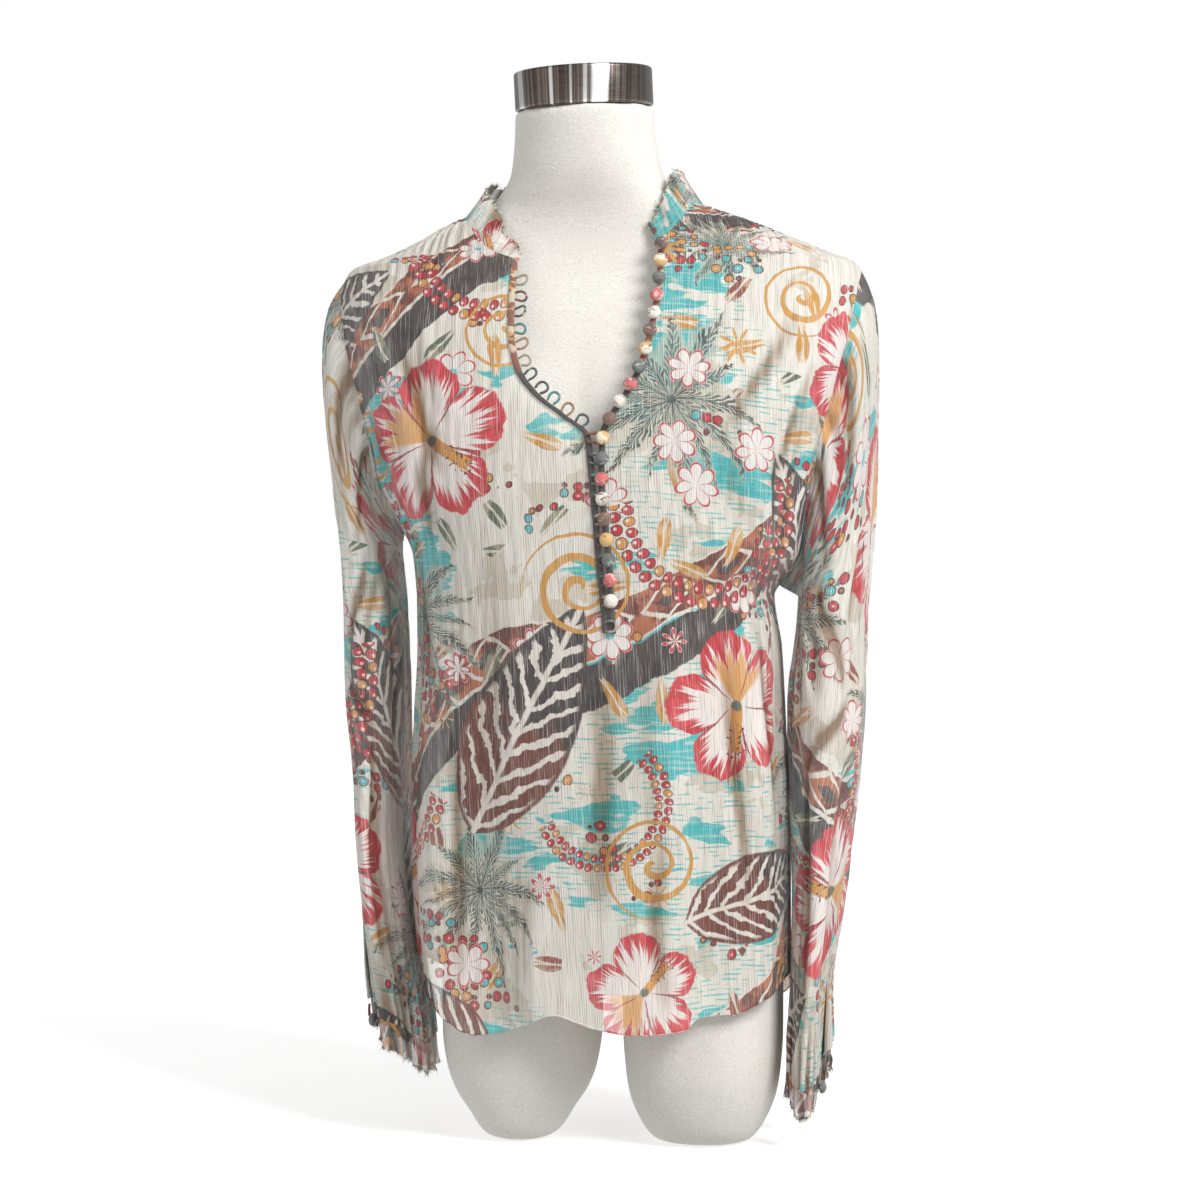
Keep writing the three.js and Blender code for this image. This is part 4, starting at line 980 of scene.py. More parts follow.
def motif_place(look, place, spots):
    """Coordinates about the nearest spot of a table, from -1 to 1 across the motif."""
    local = (9.0, 9.0, 0.0)
    for spot in rows_of(spots):
        own = look.node(
            "ShaderNodeMapping",
            {
                "Vector": place,
                "Location": (spot["u"], spot["v"], 0),
                "Rotation": (0, 0, math.radians(spot["turn"])),
                "Scale": (spot["size"], spot["size"], 1),
            },
            vector_type="TEXTURE",
        ).outputs[0]
        local = look.choose(look.length(own) < 1, local, own)
    return local


def lay_ground(look, cloth, u, v):
    """Cream, with beige clouds, aqua brush patches and areas of fine aqua hatching."""
    clouds = look.noise(cloth, 11, 4, 0.62)
    colour = look.paint(look.smooth(clouds, 0.545, 0.56) * 0.65, ink(238, 233, 222), ink(206, 194, 172))
    brush = look.noise(look.join(u * 9, v * 26), 1.0, 3, 0.6, Distortion=0.4)
    area = look.noise(look.join(u * 4.2 + 3.0, v * 4.2), 1.0, 1)
    patch = look.smooth(brush + (area - 0.5) * 0.6, 0.565, 0.580)
    bristle = look.noise(look.join(u * 30, v * 420), 1.0, 2)
    colour = look.paint(patch * look.smooth(bristle, 0.34, 0.5, 0.55, 1.0), colour, ink(58, 192, 194))
    hatch = (v * 1650 + (u * 90).sum("SINE") * 1.2 + brush * 9).sum("SINE")
    breaks = look.noise(look.join(u * 60, v * 300), 1.0, 1)
    hatch_area = look.smooth(area, 0.46, 0.51) * look.smooth(breaks, 0.5, 0.56)
    return look.paint(hatch_area * look.smooth(hatch, 0.1, 0.7) * 0.85, colour, ink(92, 200, 198))


RIBBON = {"slant": 0.5625, "apart": 0.36, "dark": 0.0372, "border": (0.0385, 0.0765)}


def lay_ribbons(look, colour, u, v, shade):
    """Slanting wavy bands of charcoal, each with a rust border of diamonds."""
    wave = (u * (2 * math.pi / 0.32)).sum("SINE") * 0.017 + (u * (2 * math.pi / 0.16)).sum("COSINE") * 0.005
    across = (v - u * RIBBON["slant"] + wave + 0.10 + (shade - 0.5) * 0.012) % RIBBON["apart"]
    dark = look.smooth(across, 0.0, 0.0012) * look.smooth(across, RIBBON["dark"], RIBBON["dark"] - 0.0012)
    charcoal = look.paint(look.smooth(shade, 0.35, 0.65), ink(48, 42, 45), ink(76, 69, 68))
    colour = look.paint(dark, colour, charcoal)
    border = (across > RIBBON["border"][0]) * (across < RIBBON["border"][1])
    rust = look.paint(look.smooth(shade, 0.42, 0.6), ink(104, 46, 38), ink(192, 112, 78))
    colour = look.paint(border, colour, rust)
    saw = abs((u * 21) % 1 - 0.5) * 2
    off = abs((across - 0.0575) / 0.0195)
    lines = look.smooth(abs(saw + off - 0.82), 0.12, 0.06) + look.smooth(abs(off - 0.93), 0.08, 0.05)
    colour = look.paint(border * lines, colour, ink(236, 228, 216))
    inner = look.smooth(saw + off, 0.42, 0.36)
    return look.paint(border * inner, colour, ink(70, 60, 60))


def lay_scatter(look, place, colour):
    """Outlined daisies, ochre stars and aqua dots, a different one in each cell of an uneven grid."""
    cells = look.node("ShaderNodeTexVoronoi", {"Vector": place, "Scale": 17.5, "Randomness": 0.62})
    kind, tilt, third = look.parts(cells.outputs["Color"])
    local = look.vector("SUBTRACT", place, cells.outputs["Position"])
    x, y = look.parts(local)[:2]
    turn = look.math("ARCTAN2", y, x) + tilt * 6.0
    r = look.length(local) * 17.5
    petal_edge = abs((turn * 3.5).sum("COSINE")) ** 0.5 * 0.16 + 0.15
    daisy = (kind > 0.38) * (r < petal_edge + 0.02)
    colour = look.paint(daisy, colour, ink(244, 238, 232))
    line = look.smooth(abs(r - petal_edge), 0.020, 0.010)
    spokes = look.smooth(abs((turn * 3.5).sum("COSINE")), 0.16, 0.08) * (r > 0.07)
    colour = look.paint(daisy * look.math("MAXIMUM", line, spokes), colour, ink(205, 62, 76))
    eye = look.paint(third > 0.5, ink(110, 205, 205), ink(160, 150, 135))
    colour = look.paint(daisy * (r < 0.062), colour, eye)
    star_edge = abs((turn * 4).sum("COSINE")) ** 3 * 0.22 + 0.08
    star = (kind < 0.24) * look.smooth(r - star_edge, 0.012, 0.0)
    colour = look.paint(star, colour, ink(224, 168, 88))
    dot = (kind > 0.24) * (kind < 0.34) * look.smooth(r, 0.10, 0.085)
    return look.paint(dot, colour, ink(92, 200, 206))


def lay_brush_leaves(look, place, colour, shade):
    """Single narrow leaves in ochre, olive and rust, turned every way, each with a pale rib."""
    cells = look.node("ShaderNodeTexVoronoi", {"Vector": place, "Scale": 21.0, "Randomness": 0.8})
    kind, tilt, third = look.parts(cells.outputs["Color"])
    x, y = look.parts(look.vector("SUBTRACT", place, cells.outputs["Position"]))[:2]
    sway, lean = (tilt * 6.3).sum("SINE") * 21, (tilt * 6.3).sum("COSINE") * 21
    along, off = x * lean + y * sway, abs(y * lean - x * sway)
    half = look.math("MAXIMUM", 0.16 - along * along, 0.0) * (0.75 + along)
    off = abs(off - along * along * 0.25)
    leaf = look.smooth(half - off, 0.0, 0.02) * (kind > 0.5)
    tone = look.paint(third > 0.45, ink(212, 150, 62), ink(92, 106, 84))
    tone = look.paint(third > 0.78, tone, ink(150, 72, 52))
    tone = look.paint(look.smooth(shade, 0.5, 0.56) * 0.35, tone, ink(240, 226, 196))
    tone = look.paint(look.smooth(off, 0.022, 0.012) * 0.8, tone, ink(244, 236, 220))
    return look.paint(leaf, colour, tone)


def lay_berries(look, place, colour):
    """Close clusters of small round berries in coral, ochre and aqua."""
    cells = look.node("ShaderNodeTexVoronoi", {"Vector": place, "Scale": 112, "Randomness": 0.5})
    hue, second = look.parts(cells.outputs["Color"])[:2]
    r = Field(look, cells.outputs["Distance"])
    here = look.noise(cells.outputs["Position"], 9.0, 2, 0.6) > 0.585
    berry = look.paint(hue > 0.70, ink(196, 34, 50), ink(222, 158, 80))
    berry = look.paint(second > 0.86, berry, ink(84, 186, 190))
    berry = look.paint(look.smooth(r, 0.16, 0.08) * 0.7, berry, ink(250, 226, 220))
    berry = look.paint(look.smooth(r, 0.34, 0.42), berry, ink(96, 36, 36))
    return look.paint(here * look.smooth(r, 0.50, 0.46), colour, berry)


def lay_striped_leaves(look, place, colour, shade):
    """Large pointed leaves in charcoal and brown, with cream veins."""
    x, y = look.parts(motif_place(look, place, STRIPED_LEAVES))[:2]
    side = abs(y)
    half = look.math("MAXIMUM", 1 - x * x, 0.0) ** 0.8 * (0.44 - x * 0.14)
    inside = look.smooth(half - side, 0.0, 0.02)
    tone = look.paint(look.smooth(x + (shade - 0.5) * 0.8, -0.12, 0.06), ink(112, 52, 40), ink(52, 44, 46))
    vein = ((x * 4.6 - side * 5.4 + (shade - 0.5) * 1.4) % 1.0) - 0.5
    pale = look.smooth(abs(vein), 0.20, 0.13) * look.smooth(half - side, 0.03, 0.08)
    tone = look.paint(look.math("MAXIMUM", pale, look.smooth(side, 0.030, 0.014)), tone, ink(240, 232, 222))
    return look.paint(inside, colour, tone)


def lay_palm_sprays(look, place, colour, shade):
    """Drooping fronds drawn in grey-green strokes over a pale wash."""
    x, y = look.parts(motif_place(look, place, PALM_SPRAYS))[:2]
    y = y + x * x * 0.55
    reach = look.math("SQRT", x * x + y * y)
    turn = look.math("ARCTAN2", y, x) + (shade - 0.5) * 0.35
    number = (turn * (6.5 / math.pi) + 0.5).sum("FLOOR")
    reach = reach / ((number * 2.4).sum("SINE") * 0.15 + 0.83)
    off = abs((turn * 6.5).sum("SINE"))
    across = off * reach / 6.5
    width = look.math("MAXIMUM", 1 - reach, 0.0) * reach * 0.27
    wash = look.smooth(width * 1.7 - across, 0.0, 0.03)
    colour = look.paint(wash * 0.6, colour, ink(206, 198, 180))
    stroke = (reach * 58 - off * 17 + shade * 14).sum("SINE")
    frond = look.smooth(width - across, 0.0, 0.014) * look.smooth(stroke, -0.45, 0.1)
    spine = look.smooth(across, 0.010, 0.004) * look.smooth(reach, 0.97, 0.85)
    green = look.paint(look.smooth(shade, 0.4, 0.6), ink(52, 70, 70), ink(104, 124, 116))
    return look.paint(look.math("MAXIMUM", frond, spine), colour, green)


def lay_garlands(look, place, colour):
    """Hanging strings of round beads in coral and ochre, two rows deep."""
    local = motif_place(look, place, GARLANDS)
    x, y = look.parts(local)[:2]
    r = look.length(local)
    rows = (r - 0.62) / 0.115
    row = rows.sum("FLOOR")
    along = look.math("ARCTAN2", x, y * -1) * (46 / (2 * math.pi)) + row * 0.5 + 23
    off, up = along % 1 - 0.5, rows - row - 0.5
    r_bead = look.math("SQRT", off * off + up * up)
    here = (row > -0.5) * (row < 1.5) * (y < 0.16) * look.smooth(r_bead, 0.47, 0.44)
    number = along.sum("FLOOR")
    ochre = (number * 0.381 + row * 0.2) % 1 < 0.24
    bead = look.paint(ochre, ink(198, 34, 50), ink(224, 156, 76))
    shine = look.length(look.join(off + 0.13, up - 0.13))
    bead = look.paint(look.smooth(shine, 0.17, 0.09) * 0.85, bead, ink(255, 238, 232))
    bead = look.paint(look.smooth(r_bead, 0.33, 0.41), bead, ink(112, 46, 44))
    return look.paint(here, colour, bead)


def lay_scrolls(look, place, colour):
    """Curling tendrils drawn with a flat ochre brush."""
    local = motif_place(look, place, SCROLLS)
    x, y = look.parts(local)[:2]
    r = look.length(local)
    turn = look.math("ARCTAN2", y, x)
    winding = (r / 0.34 - turn / (2 * math.pi) + 0.3) % 1.0
    width = (turn.sum("SINE") * 0.05 + 0.15) * look.smooth(r, 0.96, 0.6)
    line = look.smooth(width - abs(winding - 0.5), 0.0, 0.02) * (r < 0.96)
    return look.paint(line, colour, ink(216, 158, 72))


def lay_blossoms(look, place, colour):
    """Wide five-petalled blossoms: coral rims, white streaks from the throat, one ochre petal and stamens."""
    local = motif_place(look, place, BLOSSOMS)
    x, y = look.parts(local)[:2]
    r = look.length(local)
    turn = look.math("ARCTAN2", y, x)
    way = look.vector("NORMALIZE", local)
    streaks = look.noise(look.vector("SCALE", way, Scale=10.0), 1.0, 2, 0.6)
    ruffle = look.noise(look.vector("SCALE", way, Scale=4.0), 1.0, 2, 0.6)
    lobe = abs((turn * 2.5).sum("COSINE"))
    edge = lobe**0.45 * 0.42 + 0.46 + (ruffle - 0.5) * 0.22
    depth = r / edge
    inside = look.smooth(depth, 1.0, 0.965)
    petal = look.paint(look.smooth(ruffle, 0.4, 0.6), ink(200, 28, 48), ink(222, 66, 78))
    throat = look.smooth(depth + (streaks - 0.5) * 1.5, 0.80, 0.66)
    petal = look.paint(throat, petal, ink(250, 240, 234))
    one = look.smooth((turn - 2.2).sum("COSINE"), 0.70, 0.84)
    one = one * look.smooth(depth + (streaks - 0.5) * 0.9, 0.72, 0.6)
    petal = look.paint(one * 0.95, petal, ink(232, 168, 88))
    fold = look.smooth(lobe, 0.13, 0.05) * look.smooth(depth, 0.08, 0.3)
    petal = look.paint(fold * 0.9, petal, ink(158, 34, 50))
    stem_along, stem_off = x * 0.62 - y * 0.78, abs(x * 0.78 + y * 0.62)
    stem = look.smooth(stem_off, 0.075, 0.055) * (stem_along > 0.0) * (stem_along < 0.52)
    petal = look.paint(stem, petal, ink(226, 158, 74))
    specks = look.smooth(look.noise(local, 26, 1), 0.60, 0.63) * look.smooth(stem_off, 0.13, 0.10)
    petal = look.paint(specks * (stem_along > 0.2) * (stem_along < 0.6), petal, ink(70, 44, 36))
    petal = look.paint(look.smooth(r, 0.075, 0.045), petal, ink(96, 104, 92))
    return look.paint(inside, colour, petal)


def chiffon_look():
    look = Look("printed_chiffon")
    cloth = look.node("ShaderNodeUVMap", {}, uv_map="cloth").outputs["UV"]
    u, v = look.parts(cloth)[:2]
    shade = look.noise(cloth, 46, 3, 0.6)
    second = look.noise(look.vector("ADD", cloth, (3.1, 1.7, 0.4)), 40, 2)
    repeat_u = (u + REPEAT[0] / 2) % REPEAT[0] - REPEAT[0] / 2
    repeat_v = (v + 0.04) % REPEAT[1] - 0.04
    place = look.join(repeat_u + (shade - 0.5) * 0.005, repeat_v + (second - 0.5) * 0.005)
    colour = lay_ground(look, cloth, u, v)
    colour = lay_ribbons(look, colour, u, v, shade)
    colour = lay_brush_leaves(look, place, colour, shade)
    colour = lay_palm_sprays(look, place, colour, shade)
    colour = lay_berries(look, place, colour)
    colour = lay_scatter(look, place, colour)
    colour = lay_striped_leaves(look, place, colour, shade)
    colour = lay_garlands(look, place, colour)
    colour = lay_scrolls(look, place, colour)
    colour = lay_blossoms(look, place, colour)
    # The crinkle: fine upright ribs, a little uneven. Painted shade darkens the ribs' hollows and painted
    # highlight lightens their crests.
    ribs = look.noise(look.join(u * 1250 + v * 60, v * 36), 1.0, 1.5, 0.5)
    folds = look.noise(look.join(u * 300 + v * 20, v * 15), 1.0, 2, 0.6)
    fine = (u * 3300 + v * 160 + look.noise(look.join(u * 60, v * 14), 1.0, 2, 0.6) * 26).sum("SINE")
    crinkle = ribs * 0.45 + folds * 0.3 + fine * 0.055 + 0.125
    colour = look.paint(look.smooth(crinkle, 0.49, 0.37) * 0.34, colour, ink(104, 92, 82))
    colour = look.paint(look.smooth(crinkle, 0.52, 0.63) * 0.34, colour, ink(255, 251, 243))
    # Where the sheer cloth dips into folds and gathers, painted shade darkens and warms its colour; in the
    # gathers its layers also add up to deeper and closer colour.
    dip = Field(look, look.node("ShaderNodeAttribute", {}, attribute_name="dip").outputs["Fac"])
    colour = look.paint(dip * 0.88, colour, ink(146, 122, 98), "MULTIPLY")
    bump = look.node("ShaderNodeBump", {"Strength": 0.9, "Distance": 0.0016, "Height": crinkle})
    close = look.smooth(dip, 0.0, 1.0, 0.78, 0.96)
    return look.finish(
        Base_Color=colour, Roughness=0.6, Alpha=close, Normal=bump.outputs[0], Sheen_Weight=0.1
    )


chiffon = chiffon_look()
chiffon.use_transparent_shadow = False  # the cloth lets little light through, so its shadow is full
for cloth, node in ((front, "front"), (back, "back")):
    cloth.data.materials.append(chiffon)
    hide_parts(node)
    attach(cloth, "root")

# The rolled hems and the seams.
# The front's and back's lower edges are rolled to a thin cord. Inside each seam the two raw edges lie as a
# narrow doubled strip, which shows through the sheer cloth.
ROLL_RADIUS, SEAM_INSIDE = 0.75, 0.7


def rolled_edge(path, edge_map):
    """A grid and a map for a roll of cloth along a path."""
    way = np.gradient(path, axis=0)
    out = np.cross(way, (0, 0, 1))
    out /= np.linalg.norm(out, axis=-1, keepdims=True)
    up = np.cross(out, way)
    up /= np.linalg.norm(up, axis=-1, keepdims=True)
    turn = np.linspace(0, 2 * np.pi, 9)
    radius = ROLL_RADIUS * (1 + 0.15 * np.sin(np.arange(len(path)) * 1.3))
    ring = np.cos(turn)[None, :, None] * out[:, None] + np.sin(turn)[None, :, None] * up[:, None]
    grid = path[:, None] + ring * radius[:, None, None]
    return grid, edge_map[:, None] + np.stack([0 * turn, 2 * turn], -1)


roll_grids, roll_maps = [], []
for (first, last), (first_map, last_map) in ((front_grids, front_maps), (back_grids, back_maps)):
    path = np.concatenate([first[0], last[0][-2::-1]])
    grid, uv = rolled_edge(path, np.concatenate([first_map[0], last_map[0][-2::-1]]))
    roll_grids.append(grid)
    roll_maps.append(uv)
hems = cloth_object("rolled_hems", roll_grids, roll_maps, (True, False))

seam_grids, seam_maps = [], []
for halves, panel_grids, panel_maps in (
    (front_halves, front_grids, front_maps),
    (back_halves, back_grids, back_maps),
):
    for (angle, z), grid, uv in zip(halves, panel_grids, panel_maps):
        inner = grid - body_normal(angle, z) * SEAM_INSIDE
        for rows, columns in ((slice(None), slice(0, 4)), (slice(-4, None), slice(None))):
            seam_grids.append(inner[rows, columns])
            seam_maps.append(uv[rows, columns] + (60, 25))
seams = cloth_object("seam_edges", seam_grids, seam_maps, (False,) * len(seam_grids))
for trim in (hems, seams):
    trim.data.materials.append(chiffon)
    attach(trim, "root")

# The sleeves.
# Long set-in sleeves of the same chiffon, eased into the armholes and hanging flat beside the body. Each
# has a short slit at the wrist and is gathered into its cuff.
SLEEVE = {
    LEFT: table(
        "z inner outer front back",
        (50, 137, 177, -46, 34),
        (78, 138, 179, -47, 35),
        (106, 141, 183, -48, 36),
        (135, 147, 187, -50, 40),
        (180, 155, 190, -52, 46),
        (240, 161, 195, -52, 50),
        (300, 161, 199, -52, 54),
        (350, 161, 205, -52, 58),
        (430, 164, 206.5, -52, 60),
        (468, 168, 208, -52, 60),
    ),
    RIGHT: table(
        "z inner outer front back",
        (14, 154, 177, -40, 32),
        (42, 151, 181, -45, 34),
        (74, 151, 184, -48, 36),
        (130, 154, 186, -50, 40),
        (190, 155, 193, -52, 46),
        (240, 154, 199, -52, 50),
        (320, 152.5, 210, -52, 56),
        (364, 154, 212, -52, 58),
        (400, 159, 212, -52, 60),
        (430, 161, 213, -52, 60),
    ),
}
SLEEVE_TOP = {LEFT: 468, RIGHT: 430}
SLEEVE_POWER = 2.6
CUFF_LINE = {
    LEFT: table("turn z", (0, 112), (0.25, 94), (0.5, 72), (0.75, 86), (1, 112)),
    RIGHT: table("turn z", (0, 82), (0.25, 49), (0.5, 66), (0.75, 56), (1, 82)),
}
CUFF_SLIT = 1 / 12  # the turn of the wrist slit, from the outside, 0, over the front, 0.25
CAP_SHARE = 0.34
CAP_BULGE = {LEFT: 16, RIGHT: 12}
SLIT_WIDTH = 5  # how far each edge of the wrist slit stands off it
EASE_ROUNDS = 26  # smoothing that eases the sleeve cap's rows into the sleeve's
SLEEVE_FOLDS = table(
    "turn top foot wide depth",
    (0.13, 560, 330, 0.035, -7),
    (0.25, 520, 300, 0.035, 5),
    (0.36, 430, 260, 0.035, -6),
    (0.62, 450, 280, 0.04, 4),
    (0.72, 540, 320, 0.035, -6),
    (0.86, 570, 330, 0.04, -6),
)
SLEEVE_CREASES = table(
    "turn_head z_head turn_foot z_foot wide depth",
    (0.12, 660, 0.20, 520, 6, -1.5),
    (0.24, 640, 0.28, 500, 5, 1.3),
    (0.33, 590, 0.25, 470, 6, -1.6),
    (0.10, 520, 0.22, 420, 6, 1.5),
    (0.30, 470, 0.17, 380, 7, -1.8),
    (0.40, 450, 0.28, 370, 6, 1.6),
    (0.14, 380, 0.30, 320, 7, -1.7),
    (0.18, 330, 0.20, 150, 7, 1.8),
    (0.29, 340, 0.27, 130, 6, -1.7),
    (0.37, 300, 0.35, 120, 6, 1.5),
    (0.46, 500, 0.46, 250, 6, 1.3),
    (0.56, 470, 0.58, 300, 6, -1.4),
    (0.67, 610, 0.64, 460, 6, 1.6),
    (0.76, 640, 0.74, 480, 7, -1.7),
    (0.70, 420, 0.80, 330, 7, 1.7),
    (0.82, 470, 0.70, 390, 6, -1.6),
    (0.78, 300, 0.77, 120, 6, 1.6),
    (0.68, 260, 0.66, 110, 6, -1.5),
    (0.94, 600, 0.92, 420, 7, 1.6),
    (1.00, 440, 0.90, 340, 7, -1.7),
    (0.97, 330, 0.98, 150, 7, 1.6),
    (0.89, 250, 0.88, 120, 6, -1.5),
)
MM_PER_TURN = 300
SLEEVE_CREASE_DEPTH = 1.9  # how much deeper the creases lie than the table's depths
CREASE_LIFT = {LEFT: 0, RIGHT: 25}  # the table's heights are the right sleeve's, and the left one hangs lower


def sleeve_ring(side, turn, z):
    inner, outer, fore, rear = (
        read(SLEEVE[side], "z", z, name) for name in ("inner", "outer", "front", "back")
    )
    angle = 2 * np.pi * turn
    x = (outer - inner) / 2 * np.sign(np.cos(angle)) * np.abs(np.cos(angle)) ** (2 / SLEEVE_POWER)
    y = -(rear - fore) / 2 * np.sign(np.sin(angle)) * np.abs(np.sin(angle)) ** (2 / SLEEVE_POWER)
    inset = 0
    for fold in rows_of(SLEEVE_FOLDS):
        off = (turn % 1 - fold["turn"]) / fold["wide"]
        inset = inset + fold["depth"] * np.exp(-(off**2)) * ramp(z, fold["top"], fold["foot"])
    scale = 1 + inset / np.hypot(x, y)
    return np.stack([side * ((inner + outer) / 2 + x * scale), (fore + rear) / 2 + y * scale, z + 0 * x], -1)


def armhole_point(side, turn):
    """The armhole's seam line, from the shoulder tip down the front, 0 to 0.5, and up the back to 1."""
    share = mix(1, UNDERARM, 1 - np.abs(1 - 2 * turn))
    fore, rear = (
        body_point(
            np.radians(read(OUTER[side], "share", share, panel)) * side,
            read(OUTER[side], "share", share, "z"),
        )
        for panel in ("front", "back")
    )
    return np.where((turn <= 0.5)[..., None], fore, rear)


def cuff_height(side, turn):
    return read(CUFF_LINE[side], "turn", turn % 1, "z")


def sleeve_point(side, turn, share):
    """`share` runs from the armhole, 0, over the cap's foot, CAP_SHARE, to the cuff, 1."""
    down = np.clip((share - CAP_SHARE) / (1 - CAP_SHARE), 0, 1)
    ring = sleeve_ring(side, turn, mix(SLEEVE_TOP[side], cuff_height(side, turn), down))
    past = np.clip(share / CAP_SHARE, 0, 1)
    place = mix(armhole_point(side, turn % 1), ring, past[..., None])
    place[..., 0] += side * CAP_BULGE[side] * (1 + np.cos(2 * np.pi * turn)) / 2 * np.sin(np.pi * past**0.5)
    return place


def along_row(grid):
    """The distance along each row of a grid from its first point."""
    steps = np.linalg.norm(np.diff(grid, axis=1), axis=-1)
    return np.concatenate([np.zeros((len(grid), 1)), np.cumsum(steps, 1)], 1)


def outward(grid, inside):
    """Unit normals of a grid that point away from the points `inside`."""
    normal = np.cross(np.gradient(grid, axis=0), np.gradient(grid, axis=1))
    normal /= np.linalg.norm(normal, axis=-1, keepdims=True)
    return normal * np.sign(np.sum(normal * (grid - inside)))


def sleeve_cloth(side, name, print_shift):
    fore = np.linspace(CUFF_SLIT, 0.5, 63)
    middle = len(fore) - 1  # the column of the seam under the arm
    turns = np.concatenate([fore, np.linspace(0.5, 1 + CUFF_SLIT, 87)[1:]])
    turn, share = np.meshgrid(turns, np.linspace(0, 1, 252))
    grid = sleeve_point(side, turn, share)
    for _ in range(EASE_ROUNDS):
        grid[1:-1] = (grid[:-2] + 2 * grid[1:-1] + grid[2:]) / 4
    arc = along_row(grid)
    down = along_row(grid.transpose(1, 0, 2)).mean(0)[:, None] + 0 * arc
    slit_arc = np.minimum(arc, arc[:, -1:] - arc)
    wide = SLIT_WIDTH * np.clip((share - 0.88) / 0.12, 0, 1) * np.exp(-slit_arc / 14)
    step = np.gradient(grid, axis=1)
    step /= np.linalg.norm(step, axis=-1, keepdims=True)
    first_side = np.where(arc < arc[:, -1:] / 2, 1, -1)
    grid = grid + step * (wide * first_side)[..., None]
    rows = crease_rows(SLEEVE_CREASES, "turn", MM_PER_TURN, SLEEVE_CREASE_DEPTH)
    depth = crease_depth(rows, turn * MM_PER_TURN, grid[..., 2] + CREASE_LIFT[side])
    up = down[-1:] - down
    gathers = np.sin(2 * np.pi * (20 * turn + 0.5 * wander(turn * 23, 1 + side)))
    gathers = gathers * (1 + 0.4 * wander(turn * 40, 5))
    outer = (1 + np.cos(2 * np.pi * turn)) / 2
    depth = depth * ramp(up, 4, 40) + gathers * (0.9 + 1.6 * outer) * np.exp(-((up / 42) ** 2))
    eased = np.sin(2 * np.pi * (34 * turn + 0.4 * wander(turn * 31, 2))) * 0.7 * np.exp(-((down / 12) ** 2))
    depth = depth + (eased + crinkle(arc, down, side)) * ramp(down, 0, 5)
    centre = grid.mean(1, keepdims=True)
    grid = grid + outward(grid, centre) * depth[..., None]
    full = 1 + 0.6 * np.exp(-((up / 60) ** 2))  # the gathered wrist holds more cloth than its length
    maps = [np.stack([arc * full, -down], -1), np.stack([(arc - arc[:, -1:]) * full, -down], -1)]
    maps = [maps[0][:, : middle + 1] + print_shift, maps[1][:, middle:] + print_shift]
    grids = [grid[:, : middle + 1], grid[:, middle:]]
    # How far the print is darkened: in the folds as painted shade, and near the gathered wrist, where the
    # cloth lies in more layers.
    dip = 0.5 * np.exp(-((up / 85) ** 2)) - depth / SLEEVE_DIP_DEPTH
    dips = [dip[:, : middle + 1], dip[:, middle:]]
    return cloth_object(name, grids, maps, (side == RIGHT, side == RIGHT), dips)


sleeve_right = sleeve_cloth(LEFT, "sleeve_right_cloth", (130, 630))
sleeve_left = sleeve_cloth(RIGHT, "sleeve_left_cloth", (420, 480))
for cloth, node in ((sleeve_right, "sleeve_right"), (sleeve_left, "sleeve_left")):
    cloth.data.materials.append(chiffon)
    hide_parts(node)
    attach(cloth, "root")

# The collar.
# A soft standing strip of the same chiffon, gathered round the neck and left raw at its free edge, which
# has frayed to a line of pale threads.
SEAM_FRONT = 0.16
COLLAR_HEIGHT, COLLAR_LEAN, COLLAR_WAVES = 31, 36, 17
COLLAR_FULL = (1.3, 1.25)  # how much more cloth the gathers hold up and along the collar
FRILL_SHARE = 0.55


def neck_seam(share):
    """The neck seam, from the slit's right end, 0, round the back to its left end, 1."""
    found = []
    for side in (LEFT, RIGHT):
        from_end = share if side == LEFT else 1 - share
        row = mix(NECK, 1, np.clip(from_end / SEAM_FRONT, 0, 1))
        x, z = read(FRONT_INNER[side], "share", row, "x"), read(FRONT_INNER[side], "share", row, "z")
        side_z = float(read(FRONT_INNER[side], "share", 1, "z"))
        past = np.clip((from_end - SEAM_FRONT) / (0.5 - SEAM_FRONT), 0, 1)
        behind = body_point(side * mix(np.pi / 2, np.pi, past), mix(side_z, NECK_SEAM_BACK, past))
        found.append(np.where((from_end < SEAM_FRONT)[..., None], body_point(angle_at(x, z), z), behind))
    return np.where((share < 0.5)[..., None], found[0], found[1])


def collar_grid():
    share, level = np.meshgrid(np.linspace(0, 1, 420), np.linspace(0, 1, 22))
    end_share = np.minimum(share, 1 - share)
    rise = COLLAR_HEIGHT * mix(np.where(share < 0.5, 0.25, 0.5), 1, ramp(end_share, 0, SEAM_FRONT))
    height = rise * level * (1 + 0.05 * level * wander(share * 95, 3))
    turn = COLLAR_WAVES * share
    wave = np.sin(2 * np.pi * turn) * np.interp(level, [0, FRILL_SHARE, 1], [0, 0.8, 2.4])
    pleats = np.sin(2 * np.pi * (2.6 * turn + 0.5 * wander(share * 70, 1))) * (0.25 + 0.35 * level)
    gathers = np.sin(2 * np.pi * (5.1 * turn + 0.4 * wander(share * 90, 4))) * 0.35 * (1 - level)
    out = wave + pleats + gathers + 0.8 * level * wander(share * 33, 2)
    foot = neck_seam(share)
    inward = np.stack([-4 - foot[..., 0], -16 - foot[..., 1], 0 * share], -1)
    inward /= np.linalg.norm(inward, axis=-1, keepdims=True)
    lean = math.radians(COLLAR_LEAN)
    grid = foot + inward * (height * math.sin(lean) - out)[..., None]
    grid[..., 2] += height * math.cos(lean)
    return grid, 0.2 - out / BODY_DIP_DEPTH


collar_places, collar_dips = collar_grid()
collar_arc = along_row(collar_places[:1]) + 0 * collar_places[..., 0]
collar_up = along_row(collar_places.transpose(1, 0, 2)).T
collar_map = np.stack([collar_up * COLLAR_FULL[0], collar_arc * COLLAR_FULL[1]], -1) + (60, 20)
collar = cloth_object("collar_cloth", [collar_places], [collar_map], (True,), [collar_dips])
collar.data.materials.append(chiffon)
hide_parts("collar")
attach(collar, "root")

